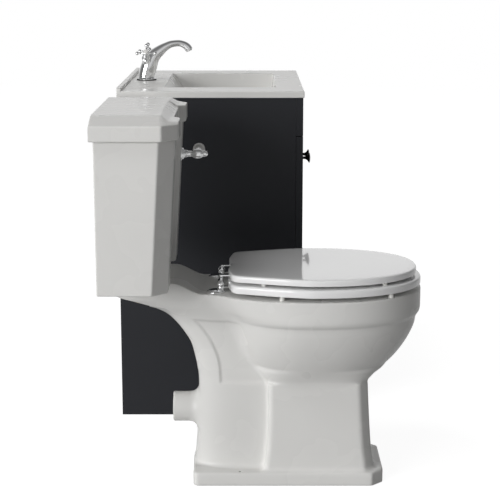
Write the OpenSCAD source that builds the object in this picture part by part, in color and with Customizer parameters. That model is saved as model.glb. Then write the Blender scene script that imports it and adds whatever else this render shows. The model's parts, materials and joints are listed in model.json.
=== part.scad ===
// A close-coupled toilet and a vanity washstand that stand side by side against one wall.
// X runs along the wall, Y from the front to the wall, Z up. The origin is on the floor,
// under the centre of the whole set. D is a distance measured out from the wall.

/* [Set] */
// Front of the pan's rim, measured from the wall
projection = 692; // [660:1:740]
// Gap between the cistern lid and the basin
unit_gap = 144; // [100:1:260]

/* [Pan] */
// Height of the rim
rim_z = 429; // [415:1:445]
// Half-width of the rim
rim_hw = 175; // [168:1:182]
// Depth of the collar round the rim
collar_h = 55; // [40:1:70]
// How far the collar stands proud of the bowl below it
collar_step = 6; // [3:1:9]
// Half-width of the rear deck
deck_hw = 96.5; // [92:0.5:104]
// Height of the rear deck above the rim
deck_rise = 23.6; // [16:0.2:32]
// Where the rear deck starts, from the wall
deck_back = 22; // [14:1:30]
// Height of the plinth
plinth_h = 32; // [24:1:44]
// Half-width of the plinth
plinth_hw = 100; // [96:1:112]
// Front of the plinth, from the wall
plinth_front = 612; // [604:1:630]
// Rear of the plinth, from the wall
plinth_back = 197; // [188:1:204]
// Chamfer on the plinth's front corners
plinth_cham = 26; // [15:1:34]
// Length of the notch for a floor screw
notch_l = 45; // [36:1:54]
// Middle of that notch, from the wall
notch_d = 302; // [270:1:320]
// Floor screw hole radius
floor_hole_r = 3; // [2.5:0.25:4]
// Soil spigot outer radius
spigot_r = 33; // [31:0.5:38]
// Wall of the soil spigot
spigot_wall = 8; // [7:0.5:10]
// Height of the spigot's axis
spigot_z = 150; // [140:1:165]
// Rear end of the spigot, from the wall
spigot_end = 151; // [130:1:165]
// Half-width of the bowl's mouth
mouth_hw = 130; // [118:1:134]
// Length of the bowl's mouth
mouth_l = 334; // [310:1:340]
// Front of the bowl's mouth, behind the front of the rim
mouth_inset = 45; // [40:1:55]

/* [Cistern] */
// Width at the top
cist_w = 450; // [430:1:456]
// Width at the bottom
cist_w_low = 440; // [424:1:450]
// Height of the body
cist_h = 317; // [300:1:340]
// Gap behind the body
cist_gap = 9; // [4:1:14]
// Front of the body at the top, from the wall
cist_front = 170.5; // [165:0.5:176]
// Front of the body at the bottom, from the wall
cist_front_low = 152.5; // [149:0.5:160]
// Chamfer on the front corners
cist_cham = 32; // [25:1:42]
// Depth of the recess in the middle of the front
recess_d = 15; // [8:1:17]
// Half-width of that recess
recess_hw = 107; // [90:1:112]
// Wall thickness
cist_wall = 10; // [8:1:12]
// Gap between the pan's deck and the cistern
couple_gap = 1; // [0.8:0.1:2]
// How far the lid stands out past the body
lid_over = 10; // [6:1:14]
// Height of the lid's upright edge
lid_edge = 31.7; // [26:0.1:38]
// Height of the bevel above it
lid_bevel_h = 16.4; // [12:0.1:20]
// Run of the bevel at the sides
lid_bevel_run = 51; // [40:1:60]
// Thickness of the lid's top
lid_wall = 12; // [9:1:14]
// Play between the lid's locating rim and the body
lid_play = 2.5; // [1.5:0.5:4]

/* [Seat] */
// Front of the ring, behind the front of the rim
ring_inset = 4; // [0:1:10]
// Half-width of the ring
ring_hw = 174; // [168:1:180]
// Thickness of the ring
ring_t = 17; // [14:0.5:19]
// Half-width of the lid
seat_lid_hw = 164; // [158:1:172]
// Front of the lid, behind the front of the ring
seat_lid_inset = 11; // [6:1:16]
// Thickness of the lid
seat_lid_t = 14; // [11:0.5:17]
// Gap between the rim and the ring
ring_gap = 9; // [8:0.5:11]
// Gap between the ring and the lid
seat_gap = 6; // [5.5:0.25:8]
// Rear edge of the ring and lid, from the wall
seat_back = 282; // [274:1:288]
// Half-width of the hole in the ring
hole_hw = 106; // [96:1:114]
// Length of the hole in the ring
hole_l = 270; // [240:1:290]
// Width of the ring at its front
ring_front_w = 72; // [62:1:84]
// Radius of a buffer
buffer_r = 6; // [5:0.5:8]
// Height of the hinge axis above the rim
axis_up = 17; // [15.5:0.5:18]
// Hinge axis, from the wall
axis_d = 257.5; // [255:0.5:260]
// Distance between the two hinge pillars
pillar_pitch = 144; // [136:1:160]
// Radius of the hinge rod
rod_r = 3.5; // [3:0.25:4]
// Radius of the ball that holds the rod
ball_r = 7.5; // [7:0.25:8.5]
// Radius of a pillar's domed base
dome_r = 20; // [16:1:22]
// Thickness of a strap
strap_t = 2.5; // [2:0.25:3]
// Width of a strap
strap_w = 9; // [7:0.5:11]
// Running play round the rod and spindles
run_play = 0.05; // [0.03:0.01:0.08]

/* [Flush] */
// Lever spindle, from the cistern's centre line
lever_x = 155; // [148:1:162]
// Lever spindle, below the top of the cistern body
lever_drop = 77; // [66:1:90]
// Length of the lever's arm
lever_arm = 78; // [65:1:84]
// Radius of the ball grip
grip_r = 14.5; // [12:0.5:16]
// Radius of the rosette
rosette_r = 17.5; // [15:0.5:19]
// Radius of the spindle
spindle_r = 5; // [4:0.25:6]
// Centre of the lever's hub, from the wall
hub_d = 203; // [200:1:206]
// Siphon bell, from the cistern's centre line
bell_x = 55; // [52:1:60]
// Radius of the siphon bell
bell_r = 36; // [32:1:38]
// Height of the siphon bell
bell_h = 150; // [120:1:160]
// Radius of the siphon's down pipe
pipe_r = 20; // [18:0.5:22]
// Fill valve, from the cistern's centre line
valve_x = 178; // [172:1:182]
// Radius of the water inlet tail
tail_r = 10.48; // [9:0.02:12]
// Length of the water inlet tail below the cistern
tail_l = 40; // [30:1:50]
// Radius of the float
float_r = 30; // [24:1:32]
// Height of the float
float_h = 56; // [40:1:64]

/* [Vanity] */
// Width of the cabinet
cab_w = 614; // [560:1:800]
// Depth of the side panels
cab_d = 432; // [420:1:440]
// Height of the cabinet
cab_h = 797; // [760:1:840]
// Thickness of the boards
board_t = 16; // [15:0.5:19]
// Thickness of the doors and the fascia
door_t = 17; // [16:0.5:20]
// Height of the fascia
fascia_h = 92; // [80:1:100]
// Gap round the doors
door_gap = 2; // [1.5:0.25:3]
// Height of the kickboard
kick_h = 80; // [60:1:110]
// How far the kickboard is set back
kick_set = 45; // [30:1:60]
// Height of the shelf
shelf_z = 360; // [300:5:400]
// Width of a door's frame
stile_w = 62; // [50:1:75]
// Depth of a door's panel below its frame
panel_sink = 6; // [4:0.5:7]
// Height of the knobs
knob_z = 613; // [580:1:640]
// Distance from a knob to the door's inner edge
knob_in = 32; // [28:1:36]
// Radius of a knob's disc
knob_r = 13.5; // [12:0.5:16]
// How far a knob stands out
knob_l = 30; // [27:1:34]
// Radius of a hinge cup
cup_r = 17.5; // [17:0.5:18]
// Depth of a hinge cup
cup_d = 11; // [10:0.5:12]

/* [Basin] */
// Width of the basin
basin_w = 621; // [616:1:810]
// Depth of the basin
basin_d = 451.5; // [449:0.5:460]
// Thickness of the basin's edge
basin_t = 16; // [14:0.5:20]
// Thickness of the rear upstand
upstand_t = 11; // [9:0.5:14]
// Height of the rear upstand
upstand_h = 8; // [6:0.5:12]
// Width of the bowl's opening
bowl_w = 413; // [380:1:440]
// Length of the bowl's opening, front to back
bowl_l = 276; // [250:1:290]
// Tap deck behind the bowl
bowl_back = 109; // [104:1:120]
// Depth of the bowl
bowl_depth = 105; // [90:1:115]
// How far the bowl's back slopes in
bowl_back_in = 82; // [60:1:90]
// How far the bowl's sides slope in
bowl_side_in = 32; // [20:1:45]
// How far the bowl's front slopes in
bowl_front_in = 14; // [8:1:30]
// Wall of the bowl
bowl_wall = 8; // [7:0.5:10]
// Radius of the waste flange
flange_r = 31.5; // [30:0.5:34]
// Radius of the waste hole
waste_r = 22.5; // [21:0.5:24]
// Radius of the trap's bottle
bottle_r = 28; // [25:0.5:32]
// Radius of the trap's outlet pipe
outlet_r = 16; // [15.5:0.5:20]
// Travel of the click plug
plug_travel = 8; // [6:0.5:10]

/* [Tap] */
// Tap centre, from the wall
tap_d = 50.5; // [48:0.5:54]
// Radius of the tap's base
tap_r = 23.8; // [22:0.2:25]
// Radius of the tap hole
tap_hole_r = 17.5; // [17:0.5:18]
// Height of the handles above the basin
handle_up = 78; // [72:1:84]
// Distance from the tap's centre to a handle's centre
handle_out = 46; // [43:1:52]
// Tilt of a handle's axis above level, in degrees
handle_tilt = 35; // [30:1:40]
// Radius of a handle over its spokes
cross_r = 26.5; // [24:0.5:28]
// Radius of a spoke's ball
cross_ball = 3.4; // [3:0.1:4]

/* [Hidden] */

eps = 0.01;
fit_play = 0.1;    // radial play of fixed parts in their holes
soft_gap = 0.3;    // gap between touching curved faces of two bodies

cist_lid_w = cist_w + 2 * lid_over;
set_w = cist_lid_w + unit_gap + basin_w;
wall_y = projection / 2;
wc_x = -set_w / 2 + cist_lid_w / 2;
van_x = set_w / 2 - basin_w / 2;

pan_front = projection;
deck_z = rim_z + deck_rise;
cist_z = deck_z + couple_gap;
cist_top = cist_z + cist_h;
collar_z = rim_z - collar_h;

ring_z = rim_z + ring_gap;
ring_top = ring_z + ring_t;
seat_lid_z = ring_top + seat_gap;
seat_wide = pan_front - 242;      // widest place of the pan and the seat, from the wall
axis_z = rim_z + axis_up;
pillar_x = pillar_pitch / 2;

// A point at a distance from the wall becomes a Y
function wy(d) = wall_y - d;

// Turns half an outline, [x, y] from the front centre to the rear centre, into a whole one
function both_sides(half) = concat(half, [for (i = [len(half) - 2:-1:1]) [-half[i][0], half[i][1]]]);

// Skins a stack of outlines that have the same number of points; each is [z, outline]
module skin(stack) {
    n = len(stack[0][1]);
    m = len(stack);
    points = [for (level = stack) for (p = level[1]) [p[0], p[1], level[0]]];
    sides = [for (j = [0:m - 2], i = [0:n - 1], half = [0, 1])
        let (a = j * n + i, b = j * n + (i + 1) % n)
        half == 0 ? [a, a + n, b + n] : [a, b + n, b]];
    polyhedron(points = points, convexity = 6, faces = concat(
        [[for (i = [0:n - 1]) i]],
        sides,
        [[for (i = [n - 1:-1:0]) (m - 1) * n + i]]));
}

// A quarter of a superellipse, from its front tip to its widest place
function front_curve(front, wide, hw, n, steps) = [for (i = [0:steps])
    let (t = 90 * i / steps)
    [hw * pow(sin(t), 2 / n), wide + (front - wide) * pow(cos(t), 2 / n)]];

// A quarter of a superellipse, from its widest place to its rear tip
function rear_curve(wide, rear, hw, n, steps) = [for (i = [0:steps])
    let (t = 90 * i / steps)
    [hw * pow(cos(t), 2 / n), wide + (rear - wide) * pow(sin(t), 2 / n)]];

// A cylinder laid along Y, from distance d0 to distance d1 from the wall
module rod_y(x, z, r, d0, d1, r1 = 0) {
    translate([x, wy(max(d0, d1)), z])
        rotate([-90, 0, 0])
            cylinder(h = abs(d1 - d0), r1 = r, r2 = r1 == 0 ? r : r1, $fn = 48);
}

// A cylinder laid along X, centred on x
module rod_x(x, d, z, r, l) {
    translate([x - l / 2, wy(d), z])
        rotate([0, 90, 0])
            cylinder(h = l, r = r, $fn = 48);
}

// An upright cylinder at distance d from the wall
module post(x, d, z, r, h, r1 = 0) {
    translate([x, wy(d), z])
        cylinder(h = h, r1 = r, r2 = r1 == 0 ? r : r1, $fn = 48);
}

// A hexagon nut with a clear hole
module nut(x, d, z, across, h, hole) {
    difference() {
        translate([x, wy(d), z])
            cylinder(h = h, r = across / 2 / cos(30), $fn = 6);
        post(x, d, z - 1, hole, h + 2);
    }
}

// A ring with a round hole
module washer(x, d, z, r, hole, h) {
    difference() {
        post(x, d, z, r, h);
        post(x, d, z - 1, hole, h + 2);
    }
}

// Lines of the pan. Each row is a level: height, front, widest place, half-width, front
// roundness, neck place, neck half-width, rear, rear roundness. Places are from the wall.
rise = collar_z / 374;
pan_lines = [
    [0, plinth_front - 20, 548, plinth_hw - 11, 7, 346, 70, plinth_back, 3],
    [plinth_h, plinth_front - 20, 548, plinth_hw - 11, 7, 346, 70, plinth_back, 3],
    [plinth_h + 18, plinth_front - 23, 546, plinth_hw - 12, 7, 348, 69, 200, 3],
    [98 * rise, plinth_front - 27, 542, plinth_hw - 13, 7, 352, 68, 204, 3],
    [164 * rise, pan_front - 112, 535, rim_hw - 89, 7, 356, 67, 207, 3],
    [214 * rise, pan_front - 115, 530, rim_hw - 88, 6, 354, 67, 208, 2.6],
    [232 * rise, pan_front - 110, 520, rim_hw - 86, 4.2, 348, 67, 207, 2.5],
    [244 * rise, pan_front - 95, 500, rim_hw - 78, 3, 337, 67, 205, 2.5],
    [256 * rise, pan_front - 76, 484, rim_hw - 66, 2.6, 326, 66, 203, 2.4],
    [278 * rise, pan_front - 54, 470, rim_hw - 48, 2.4, 311, 66, 198, 2.4],
    [302 * rise, pan_front - 36, 462, rim_hw - 32, 2.3, 304, 67, 191, 2.4],
    [326 * rise, pan_front - 22, 456, rim_hw - 20, 2.2, 298, 70, 177, 2.4],
    [350 * rise, pan_front - 12, 452, rim_hw - 12, 2.2, 292, 75, 159, 2.4],
    [collar_z - 1, pan_front - collar_step - 1, seat_wide, rim_hw - collar_step - 1, 2.2,
        278, 84, 134, 2.6],
    [collar_z, pan_front - 2, seat_wide, rim_hw - 1, 2.2, 276, 84, 134, 2.6],
    [collar_z + 15, pan_front, seat_wide, rim_hw, 2.2, 264, 90, 106, 3],
    [rim_z - 31, pan_front, seat_wide, rim_hw, 2.2, 250, 93, 82, 4],
    [rim_z - 21, pan_front, seat_wide, rim_hw, 2.2, 236, 95, 57, 5],
    [rim_z - 13, pan_front, seat_wide, rim_hw, 2.2, 222, deck_hw, deck_back + 12, 6],
    [rim_z - 5, pan_front, seat_wide, rim_hw, 2.2, 216, deck_hw, deck_back, 7],
    [rim_z - 1.5, pan_front - 2, seat_wide, rim_hw - 2, 2.2, 215, deck_hw, deck_back, 7],
    [rim_z, pan_front - 6, seat_wide, rim_hw - 6, 2.2, 214, deck_hw, deck_back, 7],
];

// The flank swells quickly from the neck to the widest place
function flank(row, steps) = [for (i = [1:steps - 1])
    let (f = pow(1 - i / steps, 1.4))
    [row[6] + (row[3] - row[6]) * pow(sin(90 * f), 0.8), row[5] + (row[2] - row[5]) * f]];

function pan_outline(row) = both_sides([for (p = concat(
        front_curve(row[1], row[2], row[3], row[4], 12),
        flank(row, 9),
        rear_curve(row[5], row[7], row[6], row[8], 8)))
    [p[0], wy(p[1])]]);

// Lines of the bowl's inside: height, front, widest place, half-width, rear
mouth_front = pan_front - mouth_inset;
mouth_rear = mouth_front - mouth_l;
bowl_lines = [
    [rim_z - 224, mouth_front - 155, 415, 36, mouth_rear + 48],
    [rim_z - 204, mouth_front - 130, 415, 50, mouth_rear + 34],
    [rim_z - 167, mouth_front - 84, 425, 78, mouth_rear + 24],
    [rim_z - 119, mouth_front - 40, 438, 106, mouth_rear + 16],
    [rim_z - 64, mouth_front - 10, 446, mouth_hw - 6, mouth_rear + 8],
    [rim_z - 24, mouth_front, 448, mouth_hw, mouth_rear + 2],
    [rim_z + 1, mouth_front, 448, mouth_hw, mouth_rear],
];

function bowl_outline(row) = both_sides([for (p = concat(
        front_curve(row[1], row[2], row[3], 2.1, 10),
        [for (q = rear_curve(row[2], row[4], row[3], 2.3, 10)) if (q[0] < row[3]) q]))
    [p[0], wy(p[1])]]);

// Deck that carries the cistern, falling in an S to the rim
s_start = cist_front_low;
s_len = 70;
deck_profile = concat(
    [[deck_back + 1, rim_z - 11], [deck_back + 1, deck_z]],
    [for (i = [0:8]) [s_start + s_len * i / 8, rim_z + deck_rise * (1 + cos(180 * i / 8)) / 2 + eps]],
    [[s_start + s_len, rim_z - 11]]);

flush_d = 82;             // flush inlet, from the wall
flush_r = 30;
seal_r = 43;
seal_seat = 20;
bolt_x = 64;
bolt_r = 4;
bolt_d = flush_d;
nut_z = deck_z - 38.6;    // underside of the deck above the coupling nuts
notch_w = 17;
split_z = rim_z - 231;     // where the pedestal ends and the bowl begins
spigot_free = 39;         // length of the spigot that a connector slides onto
notch_z = 20;
floor_hole_x = plinth_hw - 9;
hinge_d = 248;            // seat studs, from the wall
stud_r = 4;
stud_depth = 34;

module pan_cuts() {
    skin([for (row = bowl_lines) [row[0], bowl_outline(row)]]);
    // waterway: sump, weir, down leg and outlet
    leg_r = spigot_r - spigot_wall;
    translate([0, wy(372), rim_z - 193])
        rotate([-62, 0, 0])
            cylinder(h = 116, r = leg_r - 2, $fn = 48);
    post(0, 252, spigot_z - leg_r, leg_r - 1, 175);
    rod_y(0, spigot_z, leg_r, spigot_end - 1, 262);
    // flush way from the cistern to the back of the bowl
    post(0, flush_d, deck_z - seal_seat - 14, flush_r, 40);
    post(0, flush_d, deck_z - seal_seat, seal_r + 0.5, 40);
    rod_y(0, rim_z - 21, 16, flush_d, mouth_rear + 20);
    for (s = [-1, 1]) {
        // coupling bolts and the pocket that hides their nuts
        post(s * bolt_x, bolt_d, nut_z - 34, bolt_r + 1, deck_z - nut_z + 50);
        translate([s * bolt_x - 17, wy(bolt_d + 24), nut_z - 44])
            cube([34, 48, 44]);
        // seat studs
        post(s * pillar_x, hinge_d, rim_z - stud_depth - 10, stud_r + 3.5, 60);
        // floor screws
        translate([s * (plinth_hw - notch_w / 2 + 2) - notch_w / 2 - 2, wy(notch_d + notch_l / 2),
            notch_z])
            cube([notch_w + 4, notch_l, 40]);
        post(s * floor_hole_x, notch_d - 3, -1, floor_hole_r, 40);
    }
    // the pedestal is open underneath
    translate([-52, wy(520), -1])
        cube([104, 210, 105]);
}

// The whole casting. It is kept as three nodes: the rim with the deck, the bowl, the pedestal.
module casting() {
    difference() {
        union() {
            skin([for (row = pan_lines) [row[0], pan_outline(row)]]);
            translate([0, wy(0), 0])
                rotate([90, 0, 90])
                    translate([0, 0, -deck_hw + 0.5])
                        linear_extrude(height = 2 * deck_hw - 1)
                            polygon([for (p = deck_profile) [-p[0], p[1]]]);
            linear_extrude(height = plinth_h)
                polygon(both_sides([
                    [0, wy(plinth_front)],
                    [plinth_hw - plinth_cham, wy(plinth_front)],
                    [plinth_hw, wy(plinth_front - plinth_cham)],
                    [plinth_hw, wy(plinth_back + 8)],
                    [plinth_hw - 8, wy(plinth_back)],
                    [0, wy(plinth_back)]]));
            rod_y(0, spigot_z, spigot_r, spigot_end, 250);
            rod_y(0, spigot_z, spigot_r + 1, spigot_end + spigot_free, 250);
        }
        pan_cuts();
    }
}

// A block round the casting, between two heights
module slice(z0, z1) {
    translate([-rim_hw - 20, -wall_y - 20, z0])
        cube([2 * rim_hw + 40, projection + 40, z1 - z0]);
}

module pan() {
    color("ghostwhite") translate([wc_x, 0, 0]) intersection() {
        casting();
        slice(split_z, rim_z - collar_h);
    }
}

module pan_rim() {
    color("ghostwhite") translate([wc_x, 0, 0]) intersection() {
        casting();
        slice(rim_z - collar_h, deck_z + 10);
    }
}

module pedestal() {
    color("ghostwhite") translate([wc_x, 0, 0]) intersection() {
        casting();
        slice(-10, split_z);
    }
}

// Places inside the cistern
floor_t = 12;
cist_floor = cist_z + floor_t;
lever_z = cist_top - lever_drop;
lid_over_y = 8;           // how far the lid stands out to the front and the back
lid_rib = 8;              // depth of the lid's locating rim
front_run = 36;           // run of the lid's bevel at the front
ledge_w = 10;             // flat ledge of the lid's recess
rear_ease = 6;            // easing of the cistern's rear corners
valve_d = 46;
shank_r = tail_r + 0.5;   // shank of the fill valve above its tail
bell_z = cist_floor + 28;
bell_top = bell_z + bell_h;
spot_d = body_front(lever_z - 28);
crank_d = flush_d + 9;
crank_t = 6;
arm_z = lever_z + 12;
arm_x = valve_x - 26;
float_x = -75;
pin_r = 3;
stem_r = 3;               // end of the lever's arm, inside the grip
collar_r = 6;             // collar that the grip sits against
hub_foot = spot_d + 11 + soft_gap - hub_d;
spindle_foot = crank_d - crank_t / 2 - hub_d;
arm_root = 3;             // the arm starts inside the hub
hub_line = [[0, spindle_foot], [spindle_r, spindle_foot], [spindle_r, hub_foot],
    [8.6, hub_foot], [8.6, hub_foot + 3], [6.8, hub_foot + 6], [6.8, -12.5], [9.4, -10.5],
    [11.6, -5.5], [11.9, 0], [11.6, 5.5], [9.6, 9.6], [7, 11.6], [7.6, 14.6], [6.6, 19.6],
    [3.4, 22.6], [0, 23.2]];
grip_flat = sqrt(grip_r * grip_r - collar_r * collar_r);

// Joins half an outline, given as [x, distance from the wall], to its mirror image
function mirrored(half) = concat([for (p = half) [p[0], wy(p[1])]],
    [for (i = [len(half) - 1:-1:0]) [-half[i][0], wy(half[i][1])]]);

// Half of the cistern's plan, from the front chamfer to the rear corner
function cist_side(hw, front, back, cham) = [
    [hw - cham, front], [hw, front - cham], [hw, back + rear_ease],
    [hw - rear_ease * 0.3, back + rear_ease * 0.3], [hw - rear_ease, back]];

function cist_plan(hw, front, back, cham, rhw) = mirrored(concat(
    [[rhw, front - recess_d], [rhw + recess_d, front]], cist_side(hw, front, back, cham)));

// Half-width and front of the body at height z
function body_hw(z) = (cist_w_low + (cist_w - cist_w_low) * (z - cist_z) / cist_h) / 2;
function body_front(z) = cist_front_low + (cist_front - cist_front_low) * (z - cist_z) / cist_h;

// Plan of the body at height z, drawn in by inset
function body_plan(z, inset) = cist_plan(body_hw(z) - inset, body_front(z) - inset,
    cist_gap + inset, cist_cham - inset * 0.6, recess_hw + inset * 0.4);

// The body between two heights, drawn in by inset
module body_form(z0, z1, inset) {
    rhw = recess_hw + inset * 0.4;
    difference() {
        skin([for (z = [z0, z1]) [z, mirrored(cist_side(body_hw(z) - inset,
            body_front(z) - inset, cist_gap + inset, cist_cham - inset * 0.6))]]);
        skin([for (z = [z0 - 1, z1 + 1]) [z, mirrored([
            [rhw + 2 * recess_d, body_front(z) - inset + recess_d],
            [rhw, body_front(z) - inset - recess_d]])]]);
    }
}

module cistern() {
    color("ghostwhite") translate([wc_x, 0, 0]) difference() {
        body_form(cist_z, cist_top, 0);
        body_form(cist_floor, cist_top + 1, cist_wall);
        post(0, flush_d, cist_z - 1, pipe_r + 1, 20);
        for (s = [-1, 1]) {
            post(s * bolt_x, bolt_d, cist_z - 1, bolt_r + 1, 20);
            rod_y(s * 120, cist_top - 45, 4, cist_gap - 1, cist_gap + 20);
        }
        post(valve_x, valve_d, cist_z - 1, shank_r + 0.2, 20);
        rod_y(lever_x, lever_z, 8.5, spot_d - 30, spot_d + 10);
        rod_y(lever_x, lever_z, rosette_r + 1, spot_d, spot_d + 10);
    }
}

// A thin sheet of a plan at height z
module sheet(plan, z) {
    translate([0, 0, z])
        linear_extrude(height = eps)
            polygon(plan);
}

// Plan of a block with its two front corners chamfered
function block_plan(hw, front, back, cham) = both_sides([
    for (p = [[0, front], [hw - cham, front], [hw, front - cham], [hw, back], [0, back]])
    [p[0], wy(p[1])]]);

module cistern_lid() {
    hw = cist_lid_w / 2;
    front = cist_front + lid_over_y;
    back = cist_gap - lid_over_y;
    z1 = cist_top + lid_edge;
    z2 = z1 + lid_bevel_h;
    top_front = front - front_run;
    ledge = front - recess_d - ledge_w;
    color("ghostwhite") translate([wc_x, 0, 0]) difference() {
        union() {
            translate([0, 0, cist_top])
                linear_extrude(height = lid_edge)
                    polygon(cist_plan(hw, front, back, cist_cham + 1, recess_hw));
            hull() {
                sheet(block_plan(hw, front, back, cist_cham + 1), z1 - eps);
                sheet(block_plan(hw - lid_bevel_run, top_front, back, 6), z2 - eps);
            }
            translate([0, 0, cist_top - lid_rib])
                linear_extrude(height = lid_rib + 1)
                    polygon(body_plan(cist_top, cist_wall + lid_play));
        }
        // the recess runs up through the bevel
        hull() {
            sheet([[-recess_hw, wy(ledge)], [recess_hw, wy(ledge)],
                [recess_hw + recess_d * 2, wy(front + recess_d)],
                [-recess_hw - recess_d * 2, wy(front + recess_d)]], z1);
            sheet([[-recess_hw, wy(top_front)], [recess_hw, wy(top_front)],
                [recess_hw + recess_d * 2 + ledge_w, wy(front + recess_d)],
                [-recess_hw - recess_d * 2 - ledge_w, wy(front + recess_d)]], z2);
        }
        translate([0, 0, cist_top - lid_rib - 1])
            linear_extrude(height = lid_rib + 1 + lid_edge - lid_wall)
                polygon(body_plan(cist_top, cist_wall + lid_play + 6));
    }
}

module doughnut_seal() {
    color("dimgray") translate([wc_x, 0, 0])
        washer(0, flush_d, deck_z - seal_seat, seal_r, flush_r + 1, seal_seat + couple_gap);
}

module coupling_bolts() {
    color("goldenrod") translate([wc_x, 0, 0]) for (s = [-1, 1]) {
        post(s * bolt_x, bolt_d, nut_z - 11, bolt_r, cist_floor + 4 - nut_z + 11);
        translate([s * bolt_x, wy(bolt_d), cist_floor + 3])
            cylinder(h = 6, r = 7.5, $fn = 6);
    }
}

module coupling_washers() {
    color("dimgray") translate([wc_x, 0, 0]) for (s = [-1, 1])
        washer(s * bolt_x, bolt_d, cist_floor, 14, bolt_r + fit_play, 3);
}

module coupling_nuts() {
    color("goldenrod") translate([wc_x, 0, 0]) for (s = [-1, 1])
        nut(s * bolt_x, bolt_d, nut_z - 8, 20, 8, bolt_r + fit_play);
}

module siphon() {
    color("whitesmoke") translate([wc_x, 0, 0]) difference() {
        union() {
            post(bell_x, flush_d, bell_z, bell_r, bell_h);
            post(0, flush_d, cist_z - 12, pipe_r, bell_top - cist_z + 12);
            post(0, flush_d, cist_floor, pipe_r + 8, 4);
            rod_x(bell_x / 2, flush_d, bell_top - 18, 16, bell_x);
        }
        post(bell_x, flush_d, bell_z - 1, bell_r - 3, bell_h - 2);
        post(0, flush_d, cist_z - 13, pipe_r - 3, bell_top - cist_z + 10);
        rod_x(bell_x / 2, flush_d, bell_top - 18, 13, bell_x);
        post(bell_x, flush_d, bell_top - 10, pin_r + 0.3, 20);
    }
}

module siphon_backnut() {
    color("whitesmoke") translate([wc_x, 0, 0])
        nut(0, flush_d, cist_z - 10, 50, 10, pipe_r + fit_play);
}

// Piston plate, rod and the slotted head that the crank lifts
module lift_rod() {
    head_z = lever_z - 12;
    color("silver") translate([wc_x, 0, 0]) {
        post(bell_x, flush_d, bell_z + 12, bell_r - 3.6, 4);
        post(bell_x, flush_d, bell_z + 15, pin_r, head_z - bell_z - 14);
        translate([bell_x - 8, wy(flush_d + 2), head_z])
            difference() {
                cube([28, 4, 22]);
                translate([3, -1, 6.8])
                    cube([22, 6, 2 * pin_r + 4.4]);
            }
    }
}

module flush_lever() {
    color("silver") translate([wc_x, 0, 0]) {
        translate([lever_x, wy(hub_d), lever_z])
            rotate([90, 0, 0])
                rotate_extrude($fn = 48)
                    polygon(hub_line);
        translate([lever_x, wy(hub_d), lever_z])
            rotate([0, 90, 0]) {
                translate([0, 0, arm_root])
                    cylinder(h = lever_arm - grip_r - arm_root, r1 = 5, r2 = 3.6, $fn = 32);
                translate([0, 0, lever_arm - grip_flat - 4])
                    cylinder(h = 4, r = collar_r, $fn = 32);
                translate([0, 0, lever_arm / 2])
                    cylinder(h = lever_arm / 2 - 4, r = stem_r, $fn = 32);
            }
    }
}

module lever_grip() {
    face = 180 - asin(collar_r / grip_r);
    color("white") translate([wc_x + lever_x + lever_arm, wy(hub_d), lever_z])
        rotate([0, 90, 0])
            rotate_extrude($fn = 64)
                polygon(concat([[0, grip_r]],
                    [for (i = [1:10]) [grip_r * sin(face * i / 10), grip_r * cos(face * i / 10)]],
                    [[stem_r + run_play, -grip_flat], [stem_r + run_play, -3.9], [0, -3.9]]));
}

module lever_rosette() {
    color("silver") translate([wc_x, 0, 0]) difference() {
        union() {
            rod_y(lever_x, lever_z, rosette_r, spot_d, spot_d + 3);
            rod_y(lever_x, lever_z, 9, spot_d + 3, spot_d + 11, rosette_r - 3);
            rod_y(lever_x, lever_z, 8, spot_d - 26, spot_d + 1);
        }
        rod_y(lever_x, lever_z, spindle_r + run_play, spot_d - 30, spot_d + 12);
    }
}

module lever_backnut() {
    color("whitesmoke") translate([wc_x, 0, 0]) difference() {
        translate([lever_x, wy(spot_d - cist_wall), lever_z])
            rotate([-90, 0, 0])
                cylinder(h = 8, r = 13, $fn = 6);
        rod_y(lever_x, lever_z, 8 + fit_play, spot_d - 30, spot_d);
    }
}

module lever_crank() {
    span = lever_x - bell_x;
    color("silver") translate([wc_x, 0, 0]) difference() {
        union() {
            rod_y(lever_x, lever_z, 9, crank_d - crank_t / 2, crank_d + crank_t / 2);
            translate([bell_x - 4, wy(crank_d + crank_t / 2), lever_z - 4])
                cube([span, crank_t, 8]);
            rod_y(bell_x, lever_z, pin_r, flush_d - 8, crank_d);
        }
        rod_y(lever_x, lever_z, spindle_r + run_play, crank_d - 10, crank_d + 10);
    }
}

module fill_valve() {
    color("whitesmoke") translate([wc_x, 0, 0]) difference() {
        union() {
            post(valve_x, valve_d, cist_z - tail_l, tail_r, tail_l);
            post(valve_x, valve_d, cist_z - 12, shank_r, floor_t + 16);
            post(valve_x, valve_d, cist_floor, 18, 5);
            post(valve_x, valve_d, cist_floor + 4, 13, arm_z - 14 - cist_floor);
            translate([arm_x - 7, wy(valve_d + 10), arm_z - 10])
                cube([valve_x - arm_x + 20, 20, 20]);
        }
        translate([arm_x - 8, wy(valve_d + 4), arm_z - 11])
            cube([18, 8, 22]);
        rod_y(arm_x, arm_z, 2.5 + run_play, valve_d - 12, valve_d + 12);
        post(valve_x, valve_d, cist_z - tail_l - 1, tail_r - 3, 60);
    }
}

module fill_backnut() {
    color("whitesmoke") translate([wc_x, 0, 0])
        nut(valve_x, valve_d, cist_z - 9, 34, 9, shank_r + fit_play);
}

module float_arm() {
    color("goldenrod") translate([wc_x, 0, 0]) {
        rod_y(arm_x, arm_z, 2.5, valve_d - 11, valve_d + 11);
        rod_y(arm_x, arm_z, 6, valve_d - 3.5, valve_d + 3.5);
        rod_x((arm_x + float_x) / 2, valve_d, arm_z, 2.5, arm_x - float_x);
        post(float_x, valve_d, arm_z - 12, 2.5, 12);
    }
}

module float() {
    color("tomato") translate([wc_x, 0, 0]) difference() {
        post(float_x, valve_d + 8, arm_z - 10 - float_h, float_r, float_h);
        post(float_x, valve_d, arm_z - 12.1, 2.5 + run_play, 10);
    }
}

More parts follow.
